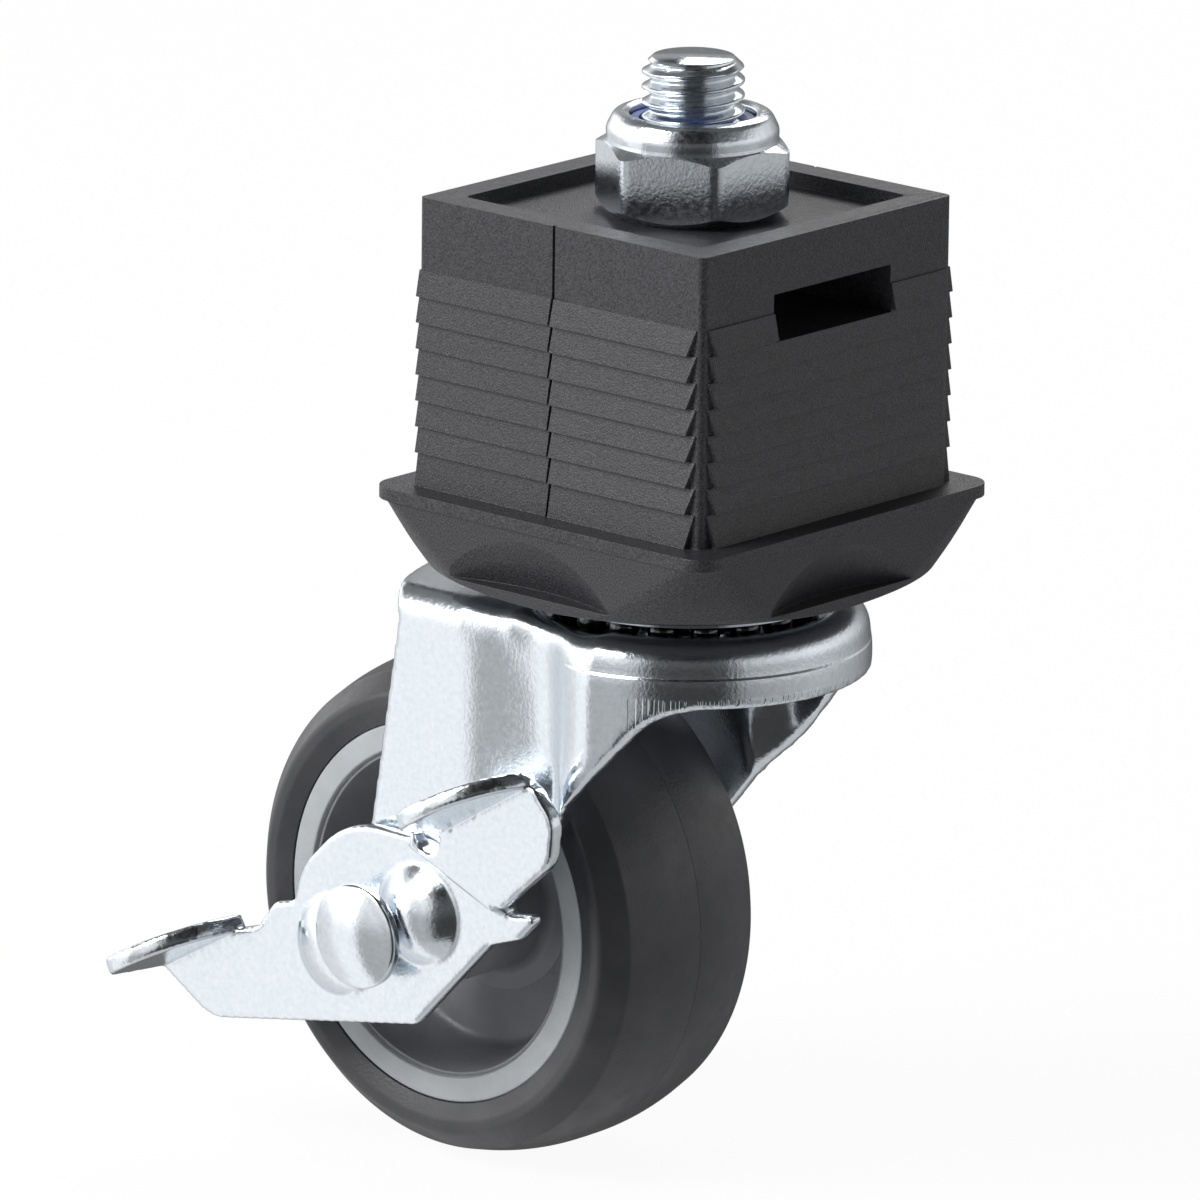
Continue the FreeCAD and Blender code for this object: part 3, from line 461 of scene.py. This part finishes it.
def rounded_profile(points, steps=4):
    """Polyline through (radius, height, rounding) corners with its corners rounded off."""
    result = []
    for index, (r, h, rounding) in enumerate(points):
        here = Vector((r, h))
        if rounding <= 0 or index in (0, len(points) - 1):
            result.append((r, h))
            continue
        before = Vector(points[index - 1][:2]) - here
        after = Vector(points[index + 1][:2]) - here
        half = before.angle(after) / 2.0
        reach = min(rounding / math.tan(half), before.length * ROUNDING_REACH,
                    after.length * ROUNDING_REACH)
        radius = reach * math.tan(half)
        middle = (before.normalized() + after.normalized()).normalized()
        centre = here + middle * (radius / math.sin(half))
        start = here + before.normalized() * reach - centre
        end = here + after.normalized() * reach - centre
        for step in range(steps + 1):
            way = start.lerp(end, step / steps).normalized() * radius
            result.append(tuple(centre + way))
    return result


def arc_points(start, middle, end, steps):
    """Points along the circular arc through three (radius, height) points."""
    (ax, ay), (bx, by), (cx, cy) = start, middle, end
    double = 2.0 * (ax * (by - cy) + bx * (cy - ay) + cx * (ay - by))
    a2, b2, c2 = ax * ax + ay * ay, bx * bx + by * by, cx * cx + cy * cy
    ux = (a2 * (by - cy) + b2 * (cy - ay) + c2 * (ay - by)) / double
    uy = (a2 * (cx - bx) + b2 * (ax - cx) + c2 * (bx - ax)) / double
    radius = math.hypot(ax - ux, ay - uy)
    first = math.atan2(ay - uy, ax - ux)
    turn = (math.atan2(cy - uy, cx - ux) - first + math.pi) % (2.0 * math.pi) - math.pi
    angles = [first + turn * step / steps for step in range(steps + 1)]
    return [(ux + radius * math.cos(angle), uy + radius * math.sin(angle)) for angle in angles]


def mirrored(rows, middle=()):
    """Rows, any rows on the middle plane, and the mirror image of the first rows."""
    return rows + list(middle) + [(r, -h) for r, h in reversed(rows)]


def turned_mesh(name, rows, segments, centre, axis="Z", loop=False, sharp_degrees=35.0):
    """Mesh around an axis from rows of (radius, height), numbers or functions of the angle."""
    angles = [2.0 * math.pi * i / segments for i in range(segments)]
    mesh_maker = bmesh.new()
    rings = []
    for radius, height in rows:
        ring = []
        for angle in angles:
            r = radius(angle) if callable(radius) else radius
            h = height(angle) if callable(height) else height
            across, along = r * math.cos(angle), r * math.sin(angle)
            spot = (across, along, h) if axis == "Z" else (across, h, along)
            ring.append(mesh_maker.verts.new([(a + b) * MM for a, b in zip(spot, centre)]))
        rings.append(ring)
    pairs = list(zip(rings[:-1], rings[1:]))
    if loop:
        pairs.append((rings[-1], rings[0]))
    for lower, upper in pairs:
        for i in range(segments):
            j = (i + 1) % segments
            mesh_maker.faces.new((lower[i], lower[j], upper[j], upper[i]))
    bmesh.ops.remove_doubles(mesh_maker, verts=mesh_maker.verts, dist=ROW_WELD_M)
    bmesh.ops.recalc_face_normals(mesh_maker, faces=mesh_maker.faces)
    mesh = bpy.data.meshes.new(name)
    mesh_maker.to_mesh(mesh)
    mesh_maker.free()
    finish_mesh(mesh, sharp_degrees)
    return mesh


def copied_mesh(node):
    """Welded copy of a CAD node's mesh."""
    mesh_maker = bmesh.new()
    mesh_maker.from_mesh(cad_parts[node].data)
    bmesh.ops.remove_doubles(mesh_maker, verts=mesh_maker.verts, dist=CAD_WELD_M)
    mesh = bpy.data.meshes.new(node + " skin")
    mesh_maker.to_mesh(mesh)
    mesh_maker.free()
    return mesh


def with_modifiers(mesh, steps):
    """Mesh after a list of (modifier kind, settings)."""
    holder = bpy.data.objects.new("holder", mesh)
    bpy.context.scene.collection.objects.link(holder)
    for kind, settings in steps:
        modifier = holder.modifiers.new(kind.lower(), kind)
        for key, value in settings.items():
            setattr(modifier, key, value)
    shown = holder.evaluated_get(bpy.context.evaluated_depsgraph_get())
    result = bpy.data.meshes.new_from_object(shown)
    bpy.data.objects.remove(holder)
    return result


def ramp(values, low, high):
    """Smooth rise from 0 to 1 between two limits; falls instead where low is the greater."""
    share = np.clip((values - low) / (high - low), 0.0, 1.0)
    return share * share * (3.0 - 2.0 * share)


def mesh_points(mesh):
    """Places of a mesh's points, in millimetres."""
    spots = np.empty(len(mesh.vertices) * 3)
    mesh.vertices.foreach_get("co", spots)
    return spots.reshape(-1, 3) / MM


def set_mesh_points(mesh, spots):
    """Put a mesh's points at places in millimetres."""
    mesh.vertices.foreach_set("co", (spots * MM).ravel())
    mesh.update()


def soften(mesh, share, passes):
    """Draw each point towards the middle of its neighbours, by a share of the way at each pass."""
    spots = mesh_points(mesh)
    pairs = np.empty(len(mesh.edges) * 2, dtype=np.int64)
    mesh.edges.foreach_get("vertices", pairs)
    first, second = pairs.reshape(-1, 2).T
    count = len(spots)
    degree = np.bincount(first, minlength=count) + np.bincount(second, minlength=count)
    for _ in range(passes):
        total = np.stack([np.bincount(first, spots[second, axis], count)
                          + np.bincount(second, spots[first, axis], count)
                          for axis in range(3)], axis=1)
        spots += (total / degree[:, None] - spots) * share[:, None]
    set_mesh_points(mesh, spots)


def pressed_copy(node, voxel, passes):
    """Even-meshed copy of a pressed piece, with the eased edges and bends of plated sheet."""
    mesh = with_modifiers(copied_mesh(node), [
        ("REMESH", {"mode": "VOXEL", "voxel_size": voxel * MM, "adaptivity": 0.0})])
    soften(mesh, np.full(len(mesh.vertices), PRESS_SHARE), passes)
    return mesh


def bevelled_copy(node, width):
    """Copy of a moulded piece with small rounded edges and flat faces that shade flat."""
    mesh = with_modifiers(copied_mesh(node), [
        ("DECIMATE", {"decimate_type": "DISSOLVE", "angle_limit": math.radians(PLUG_MERGE)}),
        ("BEVEL", {"width": width * MM, "segments": 2, "limit_method": "ANGLE",
                   "angle_limit": math.radians(PLUG_EDGE), "harden_normals": False,
                   "use_clamp_overlap": True, "miter_outer": "MITER_ARC"}),
        ("TRIANGULATE", {})])
    finish_mesh(mesh, PLUG_SHARP)
    return with_modifiers(mesh, [
        ("WEIGHTED_NORMAL", {"mode": "FACE_AREA", "keep_sharp": True})])


def hexagon_radius(flats, turn_degrees, corner=0.0):
    """Radius of a hexagon at an angle, with its corners rounded to a radius if one is given."""
    sector = math.pi / 6.0

    def radius(angle):
        local = abs((angle - math.radians(turn_degrees)) % (2.0 * sector) - sector)
        middle = (flats / 2.0 - corner) / math.cos(sector)
        away = sector - local
        if middle * math.sin(away) >= corner * 0.5:
            return flats / 2.0 / math.cos(local)
        return middle * math.cos(away) + math.sqrt(corner ** 2 - (middle * math.sin(away)) ** 2)
    return radius


def cone_height(inner, low, outer, high, radius):
    """Height on a chamfer cone where its radius meets the flats."""
    return lambda angle: low + (high - low) * (radius(angle) - inner) / (outer - inner)


class CastorSizes(bpy.types.PropertyGroup):
    """Sizes of the fine detail."""

    thread_pitch: bpy.props.FloatProperty(
        name="Thread pitch", description="Pitch of the M10 stem thread, in millimetres",
        default=1.5, min=0.5, max=3.0)
    edge_width: bpy.props.FloatProperty(
        name="Moulded edge", description="Width of the rounding on moulded edges, in millimetres",
        default=0.14, min=0.02, max=0.5)
    fork_mesh: bpy.props.FloatProperty(
        name="Fork mesh", description="Mesh size of the pressed fork, in millimetres",
        default=0.37, min=0.3, max=1.0)
    lever_mesh: bpy.props.FloatProperty(
        name="Lever mesh", description="Mesh size of the pressed lever, in millimetres",
        default=0.24, min=0.2, max=1.0)
    wheel_segments: bpy.props.IntProperty(
        name="Wheel segments", description="Faces around the wheel", default=240, min=48, max=512)


class CastorColours(bpy.types.PropertyGroup):
    """Colours of the studio."""

    floor: bpy.props.FloatVectorProperty(
        name="Floor", description="Colour of the floor", subtype="COLOR",
        default=linear("#f4f4f4"), min=0.0, max=1.0)


class CASTOR_OT_stage(bpy.types.Operator):
    """Set up the floor, the soft lights and the camera"""

    bl_idname = "castor.add_stage"
    bl_label = "Stage"

    def execute(self, context):
        self.add_floor(context.scene.castor_colours)
        self.add_world(context)
        self.add_lights()
        self.add_camera(context)
        return {"FINISHED"}

    @staticmethod
    def add_floor(colours):
        """Pale floor that the camera sees as white, with the object's own soft shadow kept."""
        half = FLOOR_HALF_M
        low = CAD_BOX[0][2]
        corners = [(-half, -half, low), (half, -half, low), (half, half, low), (-half, half, low)]
        mesh = bpy.data.meshes.new("floor")
        mesh.from_pydata(corners, [], [(0, 1, 2, 3)])
        floor = bpy.data.objects.new("floor", mesh)
        bpy.context.scene.collection.objects.link(floor)
        material = bpy.data.materials.new("matt white backdrop paper")
        material.use_nodes = True
        tree = material.node_tree
        tree.nodes.clear()
        paper = add_node(tree, "ShaderNodeBsdfDiffuse", {"Color": (*colours.floor, 1.0)})
        white = add_node(tree, "ShaderNodeEmission",
                         {"Color": (1.0, 1.0, 1.0, 1.0), "Strength": 1.0})
        rays = add_node(tree, "ShaderNodeLightPath")
        share = combined(tree, "MULTIPLY", rays.outputs["Is Camera Ray"], FLOOR_GLOW)
        mix = add_node(tree, "ShaderNodeMixShader", None, {"Fac": share})
        tree.links.new(paper.outputs[0], mix.inputs[1])
        tree.links.new(white.outputs[0], mix.inputs[2])
        add_node(tree, "ShaderNodeOutputMaterial", None, {"Surface": mix.outputs[0]})
        mesh.materials.append(material)
        floor.visible_glossy = False

    @staticmethod
    def add_world(context):
        """White behind the object, and a soft studio around it: bright left, dark in front."""
        world = bpy.data.worlds.new("white studio")
        context.scene.world = world
        world.use_nodes = True
        tree = world.node_tree
        tree.nodes.clear()
        sky = add_node(tree, "ShaderNodeTexCoord")
        parts = add_node(tree, "ShaderNodeSeparateXYZ", None, {"Vector": sky.outputs["Generated"]})
        height = parts.outputs["Z"]
        azimuth = combined(tree, "ARCTAN2", parts.outputs["Y"], parts.outputs["X"])
        turn = ranged(tree, azimuth, (-math.pi, math.pi))
        ring = add_node(tree, "ShaderNodeValToRGB", None, {"Fac": turn})
        stops = ring.color_ramp.elements
        while len(stops) < len(STUDIO_RING):
            stops.new(0.5)
        for stop, (degrees, level) in zip(stops, STUDIO_RING):
            stop.position = (degrees + 180.0) / 360.0
            stop.color = (level, level, level, 1.0)
        level = ranged(tree, height, LEVEL_SLOPE, LOW_LEVEL, HIGH_LEVEL, "SMOOTHSTEP")
        above = ranged(tree, height, OVERHEAD_SLOPE, 1.0, OVERHEAD_SHARE, "SMOOTHSTEP")
        below = ranged(tree, height, TABLE_SLOPE, 0.0, TABLE_LEVEL, "SMOOTHSTEP")
        around = combined(tree, "MULTIPLY", ring.outputs["Color"], level)
        around = combined(tree, "MULTIPLY", around, above)
        around = combined(tree, "MAXIMUM", around, below)
        rays = add_node(tree, "ShaderNodeLightPath")
        for kind in ("Is Camera Ray", "Is Transmission Ray"):
            around = combined(tree, "MAXIMUM", around, rays.outputs[kind])
        light = add_node(tree, "ShaderNodeBackground", {"Color": (1.0, 1.0, 1.0, 1.0)},
                         {"Strength": around})
        add_node(tree, "ShaderNodeOutputWorld", None, {"Surface": light.outputs[0]})

    @staticmethod
    def add_lights():
        """Two softboxes: a large one high on the left, and a weaker one behind."""
        for name, place, size, power in SOFTBOXES:
            lamp = bpy.data.lights.new(name, "AREA")
            lamp.shape = "SQUARE"
            lamp.size = size
            lamp.energy = power
            holder = bpy.data.objects.new(name, lamp)
            holder.location = place
            holder.rotation_euler = (-Vector(place)).to_track_quat("-Z", "Y").to_euler()
            bpy.context.scene.collection.objects.link(holder)

    @staticmethod
    def add_camera(context):
        """Camera at the photograph's own angle, distance and framing."""
        azimuth = math.radians(CAMERA_AZIMUTH)
        elevation = math.radians(CAMERA_ELEVATION)
        roll = math.radians(CAMERA_ROLL)
        back = Vector((math.sin(azimuth) * math.cos(elevation),
                       -math.cos(azimuth) * math.cos(elevation), math.sin(elevation)))
        right = Vector((math.cos(azimuth), math.sin(azimuth), 0.0))
        up = back.cross(right)
        side = right * math.cos(roll) + up * math.sin(roll)
        top = up * math.cos(roll) - right * math.sin(roll)
        across, high, away = CAMERA_PLACE
        place = (side * across + top * high + back * away) * MM
        data = bpy.data.cameras.new("camera")
        data.sensor_width = CAMERA_SENSOR
        data.lens = CAMERA_LENS
        data.clip_start, data.clip_end = CAMERA_CLIP_M
        camera = bpy.data.objects.new("camera", data)
        camera.matrix_world = Matrix((
            (side.x, top.x, back.x, place.x),
            (side.y, top.y, back.y, place.y),
            (side.z, top.z, back.z, place.z),
            (0.0, 0.0, 0.0, 1.0)))
        context.scene.collection.objects.link(camera)
        context.scene.camera = camera
        context.scene.view_settings.view_transform = "Standard"


class CASTOR_OT_plug(bpy.types.Operator):
    """Add the black moulded plug with its fine rounded edges"""

    bl_idname = "castor.add_plug"
    bl_label = "Tube plug"

    def execute(self, context):
        mesh = bevelled_copy("tube_plug", context.scene.castor_sizes.edge_width)
        add_piece("moulded_plug", mesh, "plug", "black_nylon", "tube_plug")
        return {"FINISHED"}


class CASTOR_OT_stem(bpy.types.Operator):
    """Add the stem screw with its real M10 thread"""

    bl_idname = "castor.add_stem"
    bl_label = "Stem screw"

    def execute(self, context):
        pitch = context.scene.castor_sizes.thread_pitch
        low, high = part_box("stem_bolt")
        bottom = low[2] / MM
        top = high[2] / MM
        inner = HEAD_FLATS / 2.0 - HEAD_CHAMFER_IN
        reach = HEAD_FLATS / math.sqrt(3.0)
        radius = hexagon_radius(HEAD_FLATS, 0.0)
        chamfer = cone_height(inner, bottom, reach, bottom + HEAD_CHAMFER_TALL, radius)
        rows = [(0.0, bottom), (inner, bottom), (radius, chamfer), (radius, bottom + HEAD_TALL),
                (STEM_RADIUS, bottom + HEAD_TALL), (STEM_RADIUS, THREAD_LOW)]
        step = pitch / THREAD_STEPS
        count = int((top - STEM_TIP - THREAD_LOW) / step)
        heights = [THREAD_LOW + (index + 1) * step for index in range(count)]
        for height in heights + [top - STEM_TIP, top]:
            rows.append((self.thread_radius(height, top, pitch), height))
        rows.append((0.0, top))
        mesh = turned_mesh("threaded stem", rows, STEM_SEGMENTS, STEM_AXIS,
                           sharp_degrees=STEM_SHARP)
        add_piece("threaded_stem", mesh, "plug", "zinc_steel", "stem_bolt",
                  material_for("turned_zinc"))
        return {"FINISHED"}

    @staticmethod
    def thread_radius(height, top, pitch):
        """Radius of a rolled metric thread at a height, as a function of the angle."""
        def radius(angle):
            phase = (height / pitch - angle / (2.0 * math.pi)) % 1.0
            flank = 1.0 - abs(phase - 0.5) * 2.0
            share = min(1.0, max(0.0, (flank - THREAD_CREST_FLAT) / THREAD_FLANK))
            smooth = share * share * (3.0 - 2.0 * share)
            eased = smooth * THREAD_EASE + share * (1.0 - THREAD_EASE)
            lead = STEM_RADIUS - max(0.0, LEAD_TALL - (top - height)) * LEAD_SLOPE
            return min(THREAD_ROOT + (STEM_RADIUS - THREAD_ROOT) * eased, lead)
        return radius


class CASTOR_OT_nut(bpy.types.Operator):
    """Add the hexagon lock nut with its chamfers and rolled collar"""

    bl_idname = "castor.add_nut"
    bl_label = "Lock nut"

    def execute(self, context):
        flat = NUT_FLATS / 2.0
        reach = NUT_FLATS / math.sqrt(3.0)
        rise = (reach - flat) * math.tan(math.radians(NUT_CHAMFER))
        radius = hexagon_radius(NUT_FLATS, NUT_TURN, NUT_CORNER)
        outer = reach + NUT_CONE_OUT
        foot = cone_height(flat - NUT_FOOT_IN, NUT_FOOT_LOW, outer, rise + NUT_FOOT_HIGH, radius)
        shoulder = cone_height(flat - NUT_TOP_IN, NUT_HEX_TALL + NUT_HEX_LIP, outer,
                               NUT_HEX_TALL - rise, radius)
        rows = [*NUT_FOOT, (radius, foot), (radius, shoulder)]
        rows += rounded_profile(NUT_COLLAR, 6) + list(NUT_BORE)
        centre = (STEM_X, STEM_Y, RECESS_FLOOR)
        mesh = turned_mesh("lock nut", rows, NUT_SEGMENTS, centre, loop=True,
                           sharp_degrees=NUT_SHARP)
        add_piece("hexagon_lock_nut", mesh, "plug", "zinc_steel", "lock_nut",
                  material_for("forged_zinc"))
        return {"FINISHED"}


class CASTOR_OT_swivel(bpy.types.Operator):
    """Add the balls and give the races their finish"""

    bl_idname = "castor.add_swivel"
    bl_label = "Swivel bearing"

    def execute(self, context):
        # The balls' steel is darkened as painted shade
        for node in ("upper_balls", "lower_balls"):
            add_piece("round_" + node, self.balls(node), "plug", "bearing_steel", node)
        for node in ("upper_race", "lower_race", "race_sleeve"):
            set_material(node, "turned_zinc")
        set_material("nylon_ring", "blue_nylon")
        return {"FINISHED"}

    @staticmethod
    def balls(node):
        """True spheres in the places of the CAD row's balls."""
        low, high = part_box(node)
        middle = (low[2] + high[2]) / 2.0
        radius = (high[2] - low[2]) / 2.0
        pitch = (high[0] - low[0]) / 2.0 - radius
        mesh_maker = bmesh.new()
        for index in range(BALL_COUNT):
            angle = 2.0 * math.pi * index / BALL_COUNT
            spot = Vector((STEM_X * MM + pitch * math.cos(angle),
                           STEM_Y * MM + pitch * math.sin(angle), middle))
            bmesh.ops.create_icosphere(mesh_maker, subdivisions=BALL_DIVISIONS, radius=radius,
                                       matrix=Matrix.Translation(spot))
        mesh = bpy.data.meshes.new(node + " spheres")
        mesh_maker.to_mesh(mesh)
        mesh_maker.free()
        finish_mesh(mesh)
        return mesh


class CASTOR_OT_fork(bpy.types.Operator):
    """Add the pressed fork with eased edges"""

    bl_idname = "castor.add_fork"
    bl_label = "Fork"

    def execute(self, context):
        mesh = pressed_copy("fork", context.scene.castor_sizes.fork_mesh, FORK_PASSES)
        spots = mesh_points(mesh)
        x, z = spots[:, 0], spots[:, 2]
        across = spots[:, 1] - STEM_Y
        side = np.abs(across)
        start, end = PANEL_RUN
        lean = (np.clip((x - start) / (end - start), 0.0, 1.0) * ramp(x, *PANEL_WEB)
                * ramp(side, *PANEL_SIDE) * ramp(z, *PANEL_FOOT) * ramp(z, *PANEL_TOP))
        spots[:, 1] -= np.sign(across) * lean * PANEL_LEAN
        set_mesh_points(mesh, spots)
        corner = ramp(x, *CORNER_BACK) * ramp(x, *CORNER_FRONT) * ramp(z, *CORNER_FOOT)
        crease = ramp(x, *CREASE_BACK) * ramp(x, *CREASE_FRONT) * CREASE_SHARE
        bends = np.maximum(corner, crease) * ramp(side, *BEND_SIDE)
        soften(mesh, bends * BEND_SHARE, BEND_PASSES)
        finish_mesh(mesh, FORK_SHARP)
        add_piece("pressed_fork", mesh, "fork", "zinc_steel", "fork", material_for("drawn_zinc"))
        return {"FINISHED"}


class CASTOR_OT_lever(bpy.types.Operator):
    """Add the pressed brake lever with eased bends"""

    bl_idname = "castor.add_lever"
    bl_label = "Brake lever"

    def execute(self, context):
        mesh = pressed_copy("brake_lever", context.scene.castor_sizes.lever_mesh, LEVER_PASSES)
        outward = np.empty(len(mesh.vertices) * 3)
        mesh.vertices.foreach_get("normal", outward)
        set_mesh_points(mesh, mesh_points(mesh) + outward.reshape(-1, 3) * LEVER_SWELL)
        finish_mesh(mesh, LEVER_SHARP)
        add_piece("pressed_lever", mesh, "brake", "zinc_steel", "brake_lever")
        return {"FINISHED"}


class CASTOR_OT_axle(bpy.types.Operator):
    """Add the domed axle bolt and the finish of its nut and washers"""

    bl_idname = "castor.add_axle"
    bl_label = "Axle"

    def execute(self, context):
        low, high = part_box("axle_bolt")
        far = high[1] / MM - WHEEL_CENTRE[1]
        top = low[1] / MM - WHEEL_CENTRE[1]
        head = AXLE_HEAD_RADIUS
        rim = top + AXLE_HEAD_DOME
        face = rim + AXLE_HEAD_RIM
        sphere = (head ** 2 + AXLE_HEAD_DOME ** 2) / (2.0 * AXLE_HEAD_DOME)
        rows = [(0.0, far), (AXLE_RADIUS - AXLE_CHAMFER, far), (AXLE_RADIUS, far - AXLE_CHAMFER),
                (AXLE_RADIUS, face)]
        (outer, low_lip), (inner, high_lip) = AXLE_HEAD_LIP
        rows += rounded_profile([(head - AXLE_HEAD_EASE, face, 0), (head, face, AXLE_HEAD_EDGE),
                                 (head * outer, rim - low_lip, AXLE_HEAD_EASE),
                                 (head * inner, rim - high_lip, 0)])
        half_turn = math.asin(head * AXLE_DOME_SHARE / sphere)
        for step in range(AXLE_DOME_STEPS + 1):
            angle = half_turn * (1.0 - step / AXLE_DOME_STEPS)
            rows.append((sphere * math.sin(angle), top + sphere * (1.0 - math.cos(angle))))
        mesh = turned_mesh("axle bolt", rows, AXLE_SEGMENTS, WHEEL_CENTRE, axis="Y",
                           sharp_degrees=AXLE_SHARP)
        add_piece("domed_axle_bolt", mesh, "fork", "zinc_steel", "axle_bolt",
                  material_for("turned_zinc"))
        for node in ("axle_nut", "axle_washer", "lever_washer", "axle_sleeve"):
            set_material(node, "turned_zinc")
        return {"FINISHED"}


class CASTOR_OT_wheel(bpy.types.Operator):
    """Add the wheel: tyre, rim ring, dished covers and hub"""

    bl_idname = "castor.add_wheel"
    bl_label = "Wheel"

    def execute(self, context):
        segments = context.scene.castor_sizes.wheel_segments
        half = rounded_profile(TYRE_SIDE, 6)[:-1] + arc_points(*TYRE_TREAD, TREAD_STEPS)
        tyre = mirrored(half, [(TYRE_MOULD_LINE, 0.0)])
        dish = rounded_profile(DISH_SIDE, 5)
        # The dished covers' grey is lightened as painted light for their shaded hollow
        for name, rows, slot, node in (
                ("soft_tyre", tyre, "grey_rubber", "tyre"),
                ("rim_ring", mirrored(rounded_profile(CORE_SIDE)), "light_grey_plastic",
                 "wheel_core"),
                ("dished_cover_near", [(r, -h) for r, h in dish], "dark_grey_plastic",
                 "dish_near"),
                ("dished_cover_far", dish, "dark_grey_plastic", "dish_far")):
            mesh = turned_mesh(name, rows, segments, WHEEL_CENTRE, axis="Y", loop=True,
                               sharp_degrees=WHEEL_SHARP)
            add_piece(name, mesh, "wheel", slot, node)
        # The hub takes the same grey, lightened as painted light for the shaded hollow
        set_material("hub_bush", "dark_grey_plastic")
        return {"FINISHED"}


class CASTOR_PT_panel(bpy.types.Panel):
    """Sidebar list of the castor's pieces"""

    bl_idname = "CASTOR_PT_panel"
    bl_label = "Castor"
    bl_space_type = "VIEW_3D"
    bl_region_type = "UI"
    bl_category = "Castor"

    def draw(self, context):
        for operator in OPERATORS:
            self.layout.operator(operator.bl_idname)
        for group in (context.scene.castor_sizes, context.scene.castor_colours):
            for key in group.__annotations__:
                self.layout.prop(group, key)


OPERATORS = (CASTOR_OT_plug, CASTOR_OT_stem, CASTOR_OT_nut, CASTOR_OT_swivel, CASTOR_OT_fork,
             CASTOR_OT_lever, CASTOR_OT_axle, CASTOR_OT_wheel, CASTOR_OT_stage)
GROUPS = (CastorSizes, CastorColours)


def register():
    """Register the add-on's classes and its scene settings."""
    for item in GROUPS + OPERATORS + (CASTOR_PT_panel,):
        bpy.utils.register_class(item)
    bpy.types.Scene.castor_sizes = bpy.props.PointerProperty(type=CastorSizes)
    bpy.types.Scene.castor_colours = bpy.props.PointerProperty(type=CastorColours)


def unregister():
    """Take the add-on's classes and settings away again."""
    del bpy.types.Scene.castor_sizes
    del bpy.types.Scene.castor_colours
    for item in reversed(GROUPS + OPERATORS + (CASTOR_PT_panel,)):
        bpy.utils.unregister_class(item)


def main():
    """Register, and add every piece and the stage."""
    register()
    bpy.ops.castor.add_plug()
    bpy.ops.castor.add_stem()
    bpy.ops.castor.add_nut()
    bpy.ops.castor.add_swivel()
    bpy.ops.castor.add_fork()
    bpy.ops.castor.add_lever()
    bpy.ops.castor.add_axle()
    bpy.ops.castor.add_wheel()
    bpy.ops.castor.add_stage()


if __name__ == "__main__":
    main()
